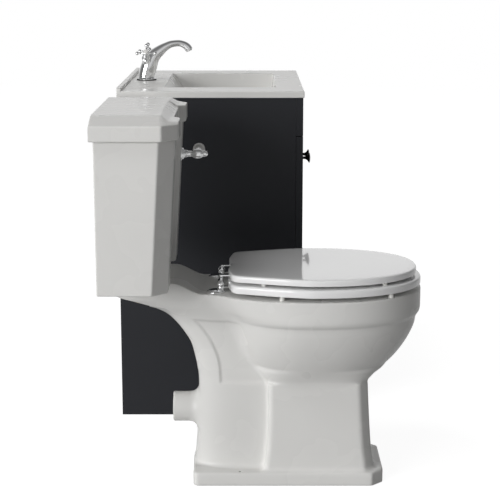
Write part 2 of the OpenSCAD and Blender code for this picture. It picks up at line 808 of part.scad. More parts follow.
// Half of the outline of the seat, drawn in by inset
function seat_side(d, wide, hw, back) = hw * (1 - 0.28 * pow((wide - d) / (wide - back), 1.3));

function seat_plan(hw, front, back, inset) =
    let (r = 30, w = seat_side(back + r, seat_wide, hw, back))
    both_sides([for (p = concat(
        front_curve(front - inset, seat_wide, hw - inset, 2.2, 14),
        [for (i = [1:6])
            let (d = seat_wide - (seat_wide - back - r) * i / 6)
            [seat_side(d, seat_wide, hw, back) - inset, d]],
        [for (a = [15:15:90]) [w - r + (r - inset) * cos(a), back + r - (r - inset) * sin(a)]],
        [[0, back + inset]]))
    [p[0], wy(p[1])]]);

// A board with its edges eased, top and bottom
module seat_board(hw, front, back, z, t, ease) {
    skin([
        [z, seat_plan(hw, front, back, ease)],
        [z + ease * 0.35, seat_plan(hw, front, back, ease * 0.3)],
        [z + ease, seat_plan(hw, front, back, 0)],
        [z + t - ease, seat_plan(hw, front, back, 0)],
        [z + t - ease * 0.35, seat_plan(hw, front, back, ease * 0.3)],
        [z + t, seat_plan(hw, front, back, ease)]]);
}

ring_front = projection - ring_inset;
hole_front = ring_front - ring_front_w;
hole_rear = hole_front - hole_l;
hole_mid = (hole_front + hole_rear) / 2;
module seat_ring() {
    color("white") translate([wc_x, 0, 0]) difference() {
        seat_board(ring_hw, ring_front, seat_back, ring_z, ring_t, 4);
        translate([0, 0, ring_z - 1])
            linear_extrude(height = ring_t + 2)
                polygon(both_sides([for (p = concat(
                        front_curve(hole_front, hole_mid, hole_hw, 2.1, 12),
                        [for (q = rear_curve(hole_mid, hole_rear, hole_hw, 2.1, 12))
                            if (q[0] < hole_hw) q]))
                    [p[0], wy(p[1])]]));
    }
}

module seat_lid() {
    color("white") translate([wc_x, 0, 0])
        seat_board(seat_lid_hw, ring_front - seat_lid_inset, seat_back, seat_lid_z, seat_lid_t, 4);
}

// Places of the buffers: from the centre line and from the wall
ring_pads = [[rim_hw - 24, 388], [rim_hw - 51, 617]];
lid_pads = [[seat_lid_hw - 44, 604], [seat_lid_hw - 38, 350]];

module ring_buffers() {
    color("gainsboro") translate([wc_x, 0, 0]) for (s = [-1, 1], p = ring_pads)
        post(s * p[0], p[1], rim_z, buffer_r, ring_gap, buffer_r - 1);
}

module lid_buffers() {
    color("gainsboro") translate([wc_x, 0, 0]) for (s = [-1, 1], p = lid_pads)
        post(s * p[0], p[1], ring_top, buffer_r - 1, seat_gap, buffer_r);
}

// Domed base, neck and the ball that holds the rod
module hinge_pillars() {
    dome_h = 5.5;
    sphere_r = (dome_r * dome_r + dome_h * dome_h) / 2 / dome_h;
    color("silver") translate([wc_x, 0, 0]) for (s = [-1, 1]) difference() {
        union() {
            translate([s * pillar_x, wy(hinge_d), rim_z])
                rotate_extrude($fn = 64)
                    polygon(concat([[0, 0], [dome_r, 0]], [for (i = [0:5])
                        let (x = dome_r * (1 - i / 5))
                        [x, 1 + sqrt(sphere_r * sphere_r - x * x) - sphere_r + dome_h - 1]]));
            post(s * pillar_x, axis_d, rim_z + 2, 5, axis_up - 2);
            translate([s * pillar_x, wy(axis_d), axis_z])
                sphere(r = ball_r, $fn = 48);
        }
        rod_x(s * pillar_x, axis_d, axis_z, rod_r + run_play, 4 * ball_r);
        post(s * pillar_x, hinge_d, rim_z - 1, stud_r + run_play, 4);
    }
}

module hinge_rod() {
    color("silver") translate([wc_x, 0, 0]) {
        rod_x(0, axis_d, axis_z, rod_r, pillar_pitch + 2 * ball_r + 4);
        rod_x(0, axis_d, axis_z, rod_r + 3, 22);
    }
}

// An eye on the rod, and a plate that lies against the board at z, above or below the axis
module strap(x, z, plate_l) {
    eye_r = rod_r + 3;
    up = z > axis_z;
    difference() {
        union() {
            rod_x(x, axis_d, axis_z, eye_r, strap_w);
            translate([x - strap_w / 2, wy(axis_d + 4), up ? axis_z : z])
                cube([strap_w, strap_t + 2, abs(z - axis_z) + (up ? strap_t : 0)]);
            translate([x - strap_w / 2, wy(seat_back + plate_l), z])
                cube([strap_w, seat_back + plate_l - axis_d, strap_t]);
        }
        rod_x(x, axis_d, axis_z, rod_r + run_play, strap_w + 2);
    }
}

module ring_straps() {
    color("silver") translate([wc_x, 0, 0]) for (s = [-1, 1])
        strap(s * (pillar_x - ball_r - strap_w / 2 - 1), ring_z - strap_t, 46);
}

module lid_straps() {
    color("silver") translate([wc_x, 0, 0]) for (s = [-1, 1])
        strap(s * (pillar_x - ball_r - strap_w * 1.5 - 2), seat_lid_z - strap_t, 46);
}

module hinge_studs() {
    color("silver") translate([wc_x, 0, 0]) for (s = [-1, 1])
        post(s * pillar_x, hinge_d, rim_z - stud_depth, stud_r, stud_depth + 3);
}

module hinge_plugs() {
    color("dimgray") translate([wc_x, 0, 0]) for (s = [-1, 1])
        washer(s * pillar_x, hinge_d, rim_z - stud_depth + 2, stud_r + 3.5 - fit_play,
            stud_r + fit_play, stud_depth - 4);
}

// Places of the cabinet
cab_x0 = van_x - cab_w / 2;
cab_x1 = van_x + cab_w / 2;
door_rest = 0.5;
door_top = cab_h - fascia_h - door_gap;
door_low = kick_h + 2;
door_w = (cab_w - door_gap) / 2;
cab_front = cab_d + door_t;
hinge_zs = [door_low + 95, door_top - 95];
cup_in = 22.5;
rail_h = 100;
low_rail_h = 90;
plate_far = 70;           // rear end of a hinge arm's plate, behind the panel's front
plate_near = 20;          // front end of that plate
rail_hole_x = 180;
pin_sink = 8;
shelf_front = cab_d - 80;
shelf_back = 30;

// A board between two X places, two distances from the wall and two heights
module board(x0, x1, d0, d1, z0, z1) {
    translate([x0, wy(d1), z0])
        cube([x1 - x0, d1 - d0, z1 - z0]);
}

module pin_holes(x, sink) {
    for (d = [shelf_back + 40, shelf_front - 40])
        rod_x(x, d, shelf_z - 2.5, 2.5 + fit_play, 2 * sink);
}

module side_panel_left() {
    color("darkslategray") difference() {
        board(cab_x0, cab_x0 + board_t, 0, cab_d, 0, cab_h);
        pin_holes(cab_x0 + board_t, pin_sink);
    }
}

module side_panel_right() {
    color("darkslategray") difference() {
        board(cab_x1 - board_t, cab_x1, 0, cab_d, 0, cab_h);
        pin_holes(cab_x1 - board_t, pin_sink);
    }
}

module base_panel() {
    color("darkslategray")
        board(cab_x0 + board_t, cab_x1 - board_t, 0, cab_d, kick_h, kick_h + board_t);
}

module back_rail() {
    color("darkslategray") difference() {
        board(cab_x0 + board_t, cab_x1 - board_t, 0, board_t, cab_h - rail_h, cab_h);
        for (s = [-1, 1])
            rod_y(van_x + s * rail_hole_x, cab_h - rail_h / 2, 4, -1, board_t + 1);
    }
}

module lower_rail() {
    z = kick_h + board_t;
    color("darkslategray")
        board(cab_x0 + board_t, cab_x1 - board_t, 0, board_t, z, z + low_rail_h);
}

module fascia() {
    color("darkslategray")
        board(cab_x0, cab_x1, cab_d, cab_front, cab_h - fascia_h, cab_h);
}

module kickboard() {
    d = cab_front - kick_set;
    color("darkslategray")
        board(cab_x0 + board_t, cab_x1 - board_t, d - board_t, d, 0, kick_h);
}

module shelf() {
    color("darkslategray")
        board(cab_x0 + board_t + 1, cab_x1 - board_t - 1, shelf_back, shelf_front, shelf_z,
            shelf_z + board_t);
}

module shelf_pins() {
    color("silver") for (x = [cab_x0 + board_t, cab_x1 - board_t],
        d = [shelf_back + 40, shelf_front - 40])
        rod_x(x, d, shelf_z - 2.5, 2.5, 2 * pin_sink - 1);
}

// A framed door; side is -1 for the left one and 1 for the right one
module door(side) {
    x0 = side < 0 ? cab_x0 : cab_x1 - door_w;
    edge = side < 0 ? cab_x0 : cab_x1;
    color("darkslategray") difference() {
        board(x0, x0 + door_w, cab_d + door_rest, cab_front, door_low, door_top);
        board(x0 + stile_w, x0 + door_w - stile_w, cab_front - panel_sink, cab_front + 1,
            door_low + stile_w, door_top - stile_w);
        for (z = hinge_zs)
            rod_y(edge - side * cup_in, z, cup_r + fit_play, cab_d, cab_d + door_rest + cup_d);
    }
}

module door_left() {
    door(-1);
}

module door_right() {
    door(1);
}

// A turned knob: neck, flared disc and a domed face
module knob(side) {
    x = van_x + side * (door_gap / 2 + knob_in);
    color("dimgray") translate([x, wy(cab_front), knob_z])
        rotate([90, 0, 0])
            rotate_extrude($fn = 48)
                polygon([[0, 0], [8, 0], [8, 1.5], [5, 4], [3.7, 8], [3.5, knob_l - 17.5],
                    [4.2, knob_l - 12], [6.9, knob_l - 8], [knob_r - 1, knob_l - 4.6],
                    [knob_r, knob_l - 3.4], [knob_r - 0.7, knob_l - 2.2], [knob_r * 0.6, knob_l - 0.7],
                    [0, knob_l]]);
}

module knob_left() {
    knob(-1);
}

module knob_right() {
    knob(1);
}

module hinge_arms() {
    color("silver") for (side = [-1, 1], z = hinge_zs) {
        x = side < 0 ? cab_x0 + board_t : cab_x1 - board_t;
        union() {
            board(min(x, x - side * 5), max(x, x - side * 5), cab_d - plate_far, cab_d - plate_near,
                z - 16, z + 16);
            board(min(x - side * 5, x - side * 14), max(x - side * 5, x - side * 14),
                cab_d - plate_far + 4, cab_d + 7, z - 6, z + 6);
        }
    }
}

module hinge_cups(side) {
    edge = side < 0 ? cab_x0 : cab_x1;
    color("silver") for (z = hinge_zs) difference() {
        rod_y(edge - side * cup_in, z, cup_r, cab_d + door_rest, cab_d + door_rest + cup_d - 0.1);
        rod_y(edge - side * cup_in, z, cup_r - 1.5, cab_d, cab_d + door_rest + cup_d - 1.5);
    }
}

module hinge_cups_left() {
    hinge_cups(-1);
}

module hinge_cups_right() {
    hinge_cups(1);
}

// Places of the basin
basin_top = cab_h + basin_t;
bowl_front = bowl_back + bowl_l;
bowl_floor = basin_top - bowl_depth;
waste_d = (bowl_back + bowl_back_in + bowl_front - bowl_front_in) / 2;
flange_t = 2.5;
tail_z = bowl_floor - 110;
trap_z = bowl_floor - 150;
trap_h = 84;
trap_pipe_z = trap_z + 52;

function bowl_plan(deep, grow) = [
    [van_x - bowl_w / 2 + deep * bowl_side_in - grow, wy(bowl_front - deep * bowl_front_in + grow)],
    [van_x + bowl_w / 2 - deep * bowl_side_in + grow, wy(bowl_front - deep * bowl_front_in + grow)],
    [van_x + bowl_w / 2 - deep * bowl_side_in + grow, wy(bowl_back + deep * bowl_back_in - grow)],
    [van_x - bowl_w / 2 + deep * bowl_side_in - grow, wy(bowl_back + deep * bowl_back_in - grow)]];

module basin() {
    color("whitesmoke") difference() {
        union() {
            board(van_x - basin_w / 2, van_x + basin_w / 2, 0, basin_d, cab_h, basin_top);
            board(van_x - basin_w / 2, van_x + basin_w / 2, 0, upstand_t, basin_top - 1,
                basin_top + upstand_h);
            skin([[bowl_floor - bowl_wall, bowl_plan(1, bowl_wall)],
                [basin_top - 2, bowl_plan(0, bowl_wall)]]);
        }
        skin([[bowl_floor, bowl_plan(1, 0)], [basin_top + 1, bowl_plan(-1 / bowl_depth, 0)]]);
        post(van_x, waste_d, bowl_floor - 20, waste_r, 40);
        post(van_x, tap_d, cab_h - 1, tap_hole_r, basin_t + 2);
    }
}

module waste_flange() {
    color("silver") difference() {
        union() {
            post(van_x, waste_d, bowl_floor, flange_r, flange_t);
            post(van_x, waste_d, tail_z, waste_r - 1, bowl_floor - tail_z + 1);
        }
        difference() {
            post(van_x, waste_d, tail_z - 1, waste_r - 4, bowl_floor - tail_z + 10);
            board(van_x - waste_r, van_x + waste_r, waste_d - 2, waste_d + 2, bowl_floor - 30,
                bowl_floor - 24);
            post(van_x, waste_d, bowl_floor - 30, 8, 6);
        }
        post(van_x, waste_d, bowl_floor - 40, 4 + run_play, 30);
    }
}

module waste_plug() {
    color("silver") {
        post(van_x, waste_d, bowl_floor + flange_t, flange_r - 3, 2.5, flange_r - 6);
        post(van_x, waste_d, bowl_floor - 36, 4, 37 + flange_t);
    }
}

module waste_nut() {
    color("silver")
        nut(van_x, waste_d, bowl_floor - bowl_wall - 9, 58, 9, waste_r - 1 + fit_play);
}

module trap_bottle() {
    color("silver") difference() {
        union() {
            post(van_x, waste_d, trap_z, bottle_r, trap_h);
            post(van_x, waste_d, trap_z + trap_h - 1, bottle_r + 1.5, 9);
            post(van_x, waste_d, trap_z - 6, bottle_r - 8, 7);
        }
        post(van_x, waste_d, trap_z + 3, bottle_r - 3, trap_h - 6);
        post(van_x, waste_d, trap_z + trap_h - 10, waste_r - 1 + fit_play, 30);
        rod_y(van_x, trap_pipe_z, outlet_r - 2, waste_d - bottle_r - 3, waste_d - 5);
    }
}

module trap_outlet() {
    start = waste_d - sqrt(bottle_r * bottle_r - outlet_r * outlet_r);
    color("silver") difference() {
        union() {
            rod_y(van_x, trap_pipe_z, outlet_r, 1, start);
            rod_y(van_x, trap_pipe_z, outlet_r + 5, start - 34, start - 12);
        }
        rod_y(van_x, trap_pipe_z, outlet_r - 2, 0, start + 10);
        post(van_x, waste_d, trap_z, bottle_r + fit_play, trap_h);
    }
}

// Lines of the tap. Each row is a section: distance forward of the tap's centre, height,
// radius, and the angle of the way that the body runs, 90 for straight up
tap_lines = [
    [0, 0, tap_r, 90], [0, 3.5, tap_r - 1.4, 90], [0.2, 8, tap_r - 2.6, 89],
    [3, 22, tap_r - 2.3, 84], [8, 37.5, tap_r - 3, 73], [14.1, 51.1, tap_r - 5, 62],
    [24, 64.5, tap_r - 7.5, 50], [36.5, 74.7, tap_r - 10, 41], [52.5, 85.2, tap_r - 13.6, 29],
    [68, 91.4, tap_r - 15, 14], [84, 93, tap_r - 15.6, -3], [98.5, 89.3, tap_r - 14.8, -28],
    [107.6, 82.6, tap_r - 14, -52], [111.2, 76, tap_r - 14.2, -70]];
tap_ring_t = 2.5;
tap_z = basin_top + tap_ring_t;
handle_z = basin_top + handle_up - 6;
handle_x = handle_out - 4;

// Skins round sections along a bent line
module bent_tube(lines, sides) {
    m = len(lines);
    points = [for (r = lines, i = [0:sides - 1])
        let (a = 360 * i / sides, u = r[2] * sin(a))
        [r[2] * 1.08 * cos(a), -(r[0] - u * sin(r[3])), r[1] + u * cos(r[3])]];
    polyhedron(points = points, convexity = 6, faces = concat(
        [[for (i = [0:sides - 1]) i]],
        [for (j = [0:m - 2], i = [0:sides - 1], half = [0, 1])
            let (a = j * sides + i, b = j * sides + (i + 1) % sides)
            half == 0 ? [a, a + sides, b + sides] : [a, b + sides, b]],
        [[for (i = [sides - 1:-1:0]) (m - 1) * sides + i]]));
}

// Moves to a handle's centre and turns Z along its axis
module on_handle(side) {
    translate([van_x + side * handle_x, wy(tap_d + 3), handle_z])
        rotate([0, side * (90 - handle_tilt), 0])
            children();
}

module tap_body() {
    color("silver") difference() {
        union() {
            translate([van_x, wy(tap_d), tap_z])
                bent_tube(tap_lines, 24);
            for (side = [-1, 1])
                on_handle(side)
                    translate([0, 0, -44])
                        cylinder(h = 24, r1 = 13, r2 = 11.5, $fn = 48);
            post(van_x, tap_d, tap_z - 16, tap_hole_r - 0.5, 18);
        }
        for (s = [-1, 1])
            post(van_x + s * 8, tap_d - 4, tap_z - 17, 4.5, 15);
        post(van_x, tap_d + 10, tap_z - 17, 3, 12);
    }
}

module tap_base_ring() {
    color("dimgray")
        washer(van_x, tap_d, basin_top, tap_r + 1, tap_hole_r, tap_ring_t);
}

module tap_bonnets() {
    color("silver") for (side = [-1, 1])
        on_handle(side) {
            translate([0, 0, -20])
                cylinder(h = 13, r1 = 10, r2 = 8, $fn = 48);
            translate([0, 0, -8])
                cylinder(h = 12, r = 3, $fn = 32);
        }
}

// Hub, four spokes with balls and a domed cap
module handle(side) {
    color("silver") on_handle(side) difference() {
        union() {
            rotate_extrude($fn = 48)
                polygon([[0, -6.5], [7, -6.5], [7, -4], [6.4, 4.5], [7, 5.5], [6.6, 7.5],
                    [4.5, 9.5], [2, 10.5], [0, 10.8]]);
            for (a = [0:90:270])
                rotate([0, 0, a])
                    rotate([0, 90, 0])
                        rotate_extrude($fn = 32)
                            polygon(concat([[0, 4.5], [2.6, 4.5], [1.8, cross_r - 2 * cross_ball]],
                                [for (t = [30:30:150]) [cross_ball * sin(t),
                                    cross_r - cross_ball - cross_ball * cos(t)]],
                                [[0, cross_r]]));
        }
        translate([0, 0, -8])
            cylinder(h = 12.5, r = 3 + run_play, $fn = 32);
    }
}

module tap_handle_left() {
    handle(-1);
}

module tap_handle_right() {
    handle(1);
}

module tap_nozzle() {
    tip = tap_lines[len(tap_lines) - 1];
    color("silver") translate([van_x, wy(tap_d + tip[0]), tap_z + tip[1]])
        rotate([90 - tip[3], 0, 0])
            difference() {
                cylinder(h = 3.5, r = tip[2] - 0.7, $fn = 32);
                translate([0, 0, 1])
                    cylinder(h = 3, r = tip[2] - 2.4, $fn = 32);
            }
}

module tap_stud() {
    color("silver") {
        post(van_x, tap_d + 10, cab_h - 30, 2.9, 30 + 12);
        difference() {
            post(van_x, tap_d, cab_h - 4, 23, 4);
            board(van_x - 14, van_x + 14, tap_d - 24, tap_d + 5, cab_h - 5, cab_h + 1);
            post(van_x, tap_d + 10, cab_h - 5, 3.1, 6);
        }
        nut(van_x, tap_d + 10, cab_h - 10, 11, 6, 3);
    }
}

pan();
pan_rim();
pedestal();
cistern();
cistern_lid();
doughnut_seal();
coupling_bolts();
coupling_washers();
coupling_nuts();
siphon();
siphon_backnut();
lift_rod();
flush_lever();
lever_grip();
lever_rosette();
lever_backnut();
lever_crank();
fill_valve();
fill_backnut();
float_arm();
float();
seat_ring();
seat_lid();
ring_buffers();
lid_buffers();
hinge_pillars();
hinge_rod();
ring_straps();
lid_straps();
hinge_studs();
hinge_plugs();
side_panel_left();
side_panel_right();
base_panel();
back_rail();
lower_rail();
fascia();
kickboard();
shelf();
shelf_pins();
door_left();
door_right();
knob_left();
knob_right();
hinge_arms();
hinge_cups_left();
hinge_cups_right();
basin();
waste_flange();
waste_plug();
waste_nut();
trap_bottle();
trap_outlet();
tap_body();
tap_base_ring();
tap_bonnets();
tap_handle_left();
tap_handle_right();
tap_nozzle();
tap_stud();
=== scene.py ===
"""A close-coupled toilet beside a dark vanity washstand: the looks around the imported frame.

Lengths are in millimetres while a piece is worked out, as in the part's source, and turn into
metres when its mesh is made. A place is given as (x, d, z): d is the distance from the wall.
"""

import json
import logging
import math
from dataclasses import dataclass, field
from enum import Enum
from typing import Callable, Sequence

import bmesh
import bpy
import numpy as np
from mathutils import Matrix, Vector


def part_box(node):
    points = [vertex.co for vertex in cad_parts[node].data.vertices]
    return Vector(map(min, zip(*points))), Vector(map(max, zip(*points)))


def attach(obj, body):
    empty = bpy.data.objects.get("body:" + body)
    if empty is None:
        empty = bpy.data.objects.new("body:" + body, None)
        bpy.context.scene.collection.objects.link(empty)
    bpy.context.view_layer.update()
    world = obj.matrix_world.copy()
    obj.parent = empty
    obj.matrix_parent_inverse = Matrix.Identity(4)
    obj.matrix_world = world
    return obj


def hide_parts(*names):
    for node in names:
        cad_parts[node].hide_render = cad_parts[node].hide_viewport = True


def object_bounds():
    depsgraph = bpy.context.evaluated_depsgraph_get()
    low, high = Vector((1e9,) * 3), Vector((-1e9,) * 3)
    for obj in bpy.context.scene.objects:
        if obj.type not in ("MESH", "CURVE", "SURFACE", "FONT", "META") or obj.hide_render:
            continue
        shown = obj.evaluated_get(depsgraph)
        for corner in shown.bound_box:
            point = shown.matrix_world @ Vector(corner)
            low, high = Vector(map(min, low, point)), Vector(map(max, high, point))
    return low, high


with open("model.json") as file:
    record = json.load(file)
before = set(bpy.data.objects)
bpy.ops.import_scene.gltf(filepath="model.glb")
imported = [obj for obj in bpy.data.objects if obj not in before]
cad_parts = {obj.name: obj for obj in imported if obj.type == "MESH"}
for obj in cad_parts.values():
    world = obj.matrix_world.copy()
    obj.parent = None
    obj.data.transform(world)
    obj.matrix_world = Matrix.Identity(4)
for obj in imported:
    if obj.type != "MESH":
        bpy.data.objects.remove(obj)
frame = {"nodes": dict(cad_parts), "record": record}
CAD_BOX = [list(corner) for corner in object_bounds()]
LOG = logging.getLogger("scene")

Point = tuple[float, float, float]
Places = tuple[np.ndarray, np.ndarray, np.ndarray]
Field = Callable[[Places], np.ndarray]
Faces = Sequence[Sequence[int]]
Solid = tuple[np.ndarray, list]

MM = 0.001
WALL = CAD_BOX[1][1] / MM
WC_X = sum(c.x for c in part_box("cistern")) / 2 / MM
VAN_X = sum(c.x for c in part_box("basin")) / 2 / MM

TINY = 1e-6
WHITE = (1.0, 1.0, 1.0, 1.0)
DIAGONAL = 0.7071
SMOOTH = 35.0
UP: Point = (0.0, 0.0, 1.0)
OUT: Point = (0.0, -1.0, 0.0)
RIGHT: Point = (1.0, 0.0, 0.0)


class Body(str, Enum):
    """The CAD bodies that the pieces ride on."""

    ROOT = "root"
    LID = "cistern_lid"
    RING = "seat_ring"
    SEAT_LID = "seat_lid"
    LEVER = "flush_lever"
    DOOR_LEFT = "door_left"
    DOOR_RIGHT = "door_right"
    HANDLE_LEFT = "tap_handle_left"
    HANDLE_RIGHT = "tap_handle_right"


class Slot(str, Enum):
    """The record's material slots."""

    WARE = "sanitary_ware"
    GRIP = "grip_ware"
    SEAT = "seat_white"
    CHROME = "chrome"
    RUBBER = "rubber"
    BUFFER = "buffer"
    BRASS = "brass"
    STEEL = "steel"
    VALVE = "valve_plastic"
    FLOAT = "float_plastic"
    PAINT = "cabinet_paint"
    KNOB = "knob_black"


# Finishes


@dataclass
class Nodes:
    """A short hand for laying out one node tree."""

    tree: bpy.types.NodeTree

    def add(self, kind: str, inputs: dict | None = None, **settings: object) -> bpy.types.Node:
        """Adds a node.

        Args:
            kind: Blender's name for the type of node.
            inputs: values or sockets for its inputs, by name or index.
            settings: the node's own properties.

        Returns:
            The new node.
        """
        node = self.tree.nodes.new(kind)
        for key, value in settings.items():
            setattr(node, key, value)
        for key, value in (inputs or {}).items():
            socket = node.inputs[key]
            if isinstance(value, bpy.types.NodeSocket):
                self.tree.links.new(value, socket)
            else:
                socket.default_value = value
        return node


def empty_tree(owner: bpy.types.Material | bpy.types.World) -> Nodes:
    """Gives a material or a world an empty node tree.

    Args:
        owner: the material or world.

    Returns:
        Its tree.
    """
    owner.use_nodes = True
    owner.node_tree.nodes.clear()
    return Nodes(owner.node_tree)


def new_group(name: str, inputs: dict,
              outputs: dict) -> tuple[Nodes, bpy.types.Node, bpy.types.Node]:
    """Starts a shader node group.

    Args:
        name: the group's name.
        inputs: default value of each input, by name; a tuple makes a colour.
        outputs: type of each output socket, by name.

    Returns:
        The group's tree, its input node and its output node.
    """
    tree = bpy.data.node_groups.new(name, "ShaderNodeTree")
    for key, value in inputs.items():
        kind = "NodeSocketColor" if isinstance(value, tuple) else "NodeSocketFloat"
        socket = tree.interface.new_socket(key, in_out="INPUT", socket_type=kind)
        socket.default_value = value
    for key, kind in outputs.items():
        tree.interface.new_socket(key, in_out="OUTPUT", socket_type=kind)
    nodes = Nodes(tree)
    return nodes, nodes.add("NodeGroupInput"), nodes.add("NodeGroupOutput")


def make_tone_group() -> bpy.types.NodeTree:
    """Makes the group that lays soft patches of a second tone over a colour.

    Returns:
        The group, which also gives the mask of the patches.
    """
    nodes, given, out = new_group(
        "soft_tone",
        {"Colour": (0.8, 0.8, 0.8, 1.0), "Second": (0.7, 0.7, 0.7, 1.0), "Size": 6.0, "Share": 0.5},
        {"Colour": "NodeSocketColor", "Mask": "NodeSocketFloat"})
    place = nodes.add("ShaderNodeTexCoord")
    noise = nodes.add("ShaderNodeTexNoise", {
        "Vector": place.outputs["Object"], "Scale": given.outputs["Size"], "Detail": 4.0,
        "Roughness": 0.55})
    ramp = nodes.add("ShaderNodeMapRange", {
        "Value": noise.outputs["Fac"], "From Min": 0.35, "From Max": 0.7,
        "To Max": given.outputs["Share"]}, interpolation_type="SMOOTHSTEP")
    mix = nodes.add("ShaderNodeMix", {
        0: ramp.outputs["Result"], 6: given.outputs["Colour"], 7: given.outputs["Second"]},
        data_type="RGBA")
    nodes.tree.links.new(mix.outputs[2], out.inputs["Colour"])
    nodes.tree.links.new(ramp.outputs["Result"], out.inputs["Mask"])
    return nodes.tree


def make_relief_group() -> bpy.types.NodeTree:
    """Makes the group for a surface's fine unevenness.

    Returns:
        The group, which gives a height and a roughness that changes a little.
    """
    nodes, given, out = new_group(
        "fine_relief", {"Size": 40.0, "Stretch": 1.0, "Roughness": 0.3, "Spread": 0.05},
        {"Height": "NodeSocketFloat", "Roughness": "NodeSocketFloat"})
    place = nodes.add("ShaderNodeTexCoord")
    scale = nodes.add("ShaderNodeCombineXYZ", {"X": 1.0, "Y": 1.0, "Z": given.outputs["Stretch"]})
    stretched = nodes.add("ShaderNodeVectorMath", {
        0: place.outputs["Object"], 1: scale.outputs[0]}, operation="MULTIPLY")
    noise = nodes.add("ShaderNodeTexNoise", {
        "Vector": stretched.outputs[0], "Scale": given.outputs["Size"], "Detail": 3.0})
    wide = nodes.add("ShaderNodeTexNoise", {
        "Vector": place.outputs["Object"], "Scale": 9.0, "Detail": 2.0})
    low = nodes.add("ShaderNodeMath", {0: wide.outputs["Fac"], 1: 0.5}, operation="SUBTRACT")
    dulled = nodes.add("ShaderNodeMath", {
        0: low.outputs[0], 1: given.outputs["Spread"], 2: given.outputs["Roughness"]},
        operation="MULTIPLY_ADD")
    nodes.tree.links.new(noise.outputs["Fac"], out.inputs["Height"])
    nodes.tree.links.new(dulled.outputs[0], out.inputs["Roughness"])
    return nodes.tree


@dataclass(frozen=True)
class Finish:
    """One finish of the record's material slots.

    Colours are linear. relief is the height of the fine unevenness in millimetres, and size and
    stretch say how fine it is and how much it runs up and down.
    """

    slot: Slot
    colour: tuple[float, float, float]
    second: tuple[float, float, float]
    roughness: float
    spread: float = 0.06
    metallic: float = 0.0
    coat: float = 0.0
    coat_rough: float = 0.03
    specular: float = 0.5
    relief: float = 0.02
    size: float = 60.0
    stretch: float = 1.0
    tone_size: float = 7.0
    tone_share: float = 0.5

    def build(self, groups: dict[str, bpy.types.NodeTree]) -> bpy.types.Material:
        """Makes the material.

        Args:
            groups: the shared node groups, by name.

        Returns:
            The material, named after the slot.
        """
        material = bpy.data.materials.new(self.slot.value)
        nodes = empty_tree(material)
        tone = nodes.add("ShaderNodeGroup", {
            "Colour": (*self.colour, 1.0), "Second": (*self.second, 1.0),
            "Size": self.tone_size, "Share": self.tone_share}, node_tree=groups["tone"])
        fine = nodes.add("ShaderNodeGroup", {
            "Size": self.size, "Stretch": self.stretch, "Roughness": self.roughness,
            "Spread": self.spread}, node_tree=groups["relief"])
        bump = nodes.add("ShaderNodeBump", {
            "Height": fine.outputs["Height"], "Distance": self.relief * MM, "Strength": 1.0})
        shader = nodes.add("ShaderNodeBsdfPrincipled", {
            "Base Color": tone.outputs["Colour"], "Roughness": fine.outputs["Roughness"],
            "Normal": bump.outputs["Normal"], "Metallic": self.metallic,
            "Coat Weight": self.coat, "Coat Roughness": self.coat_rough,
            "Specular IOR Level": self.specular})
        nodes.add("ShaderNodeOutputMaterial", {"Surface": shader.outputs[0]})
        return material


FINISHES = (
    Finish(Slot.WARE, (0.80, 0.795, 0.775), (0.775, 0.77, 0.75), 0.27, specular=0.25, size=22.0,
           tone_share=0.3),
    Finish(Slot.GRIP, (0.82, 0.81, 0.79), (0.78, 0.77, 0.75), 0.14, coat=0.6),
    Finish(Slot.SEAT, (0.92, 0.92, 0.92), (0.905, 0.905, 0.905), 0.10, coat=0.9, relief=0.004,
           size=24.0, tone_share=0.3),
    Finish(Slot.CHROME, (0.93, 0.935, 0.94), (0.86, 0.865, 0.875), 0.045, spread=0.03, metallic=1.0,
           relief=0.004, size=90.0, tone_share=0.35),
    Finish(Slot.RUBBER, (0.020, 0.020, 0.022), (0.034, 0.033, 0.033), 0.55, spread=0.15, relief=0.06,
           size=300.0, tone_size=30.0),
    Finish(Slot.BUFFER, (0.74, 0.74, 0.71), (0.68, 0.68, 0.65), 0.38, relief=0.03, size=150.0),
    Finish(Slot.BRASS, (0.60, 0.42, 0.15), (0.46, 0.31, 0.12), 0.28, spread=0.12, metallic=1.0,
           size=220.0, tone_size=25.0),
    Finish(Slot.STEEL, (0.56, 0.56, 0.57), (0.47, 0.47, 0.49), 0.30, spread=0.10, metallic=1.0,
           size=260.0, stretch=0.12, tone_size=18.0),
    Finish(Slot.VALVE, (0.66, 0.66, 0.63), (0.60, 0.60, 0.57), 0.42, relief=0.03, size=160.0),
    Finish(Slot.FLOAT, (0.38, 0.045, 0.03), (0.30, 0.035, 0.025), 0.40, relief=0.03,
           size=160.0),
    Finish(Slot.PAINT, (0.0250, 0.0262, 0.0305), (0.0215, 0.0225, 0.0263), 0.42, spread=0.10,
           specular=0.22, relief=0.035, size=130.0, stretch=0.10, tone_size=3.0),
    Finish(Slot.KNOB, (0.010, 0.010, 0.011), (0.016, 0.016, 0.017), 0.20, coat=0.4, relief=0.01,
           size=120.0),
)


# Making meshes


def to_frame(points: np.ndarray, middle: float = 0.0) -> np.ndarray:
    """Turns places (x, d, z) into points of the frame.

    Args:
        points: n rows of x, distance from the wall and height, in millimetres.
        middle: x of the piece's centre line.

    Returns:
        n rows of x, y, z in metres.
    """
    p = np.asarray(points, float)
    return np.column_stack((p[:, 0] + middle, WALL - p[:, 1], p[:, 2])) * MM


def new_object(name: str, data: bpy.types.ID) -> bpy.types.Object:
    """Puts an object into the scene.

    Args:
        name: the object's name.
        data: what it shows.

    Returns:
        The new object.
    """
    thing = bpy.data.objects.new(name, data)
    bpy.context.scene.collection.objects.link(thing)
    return thing


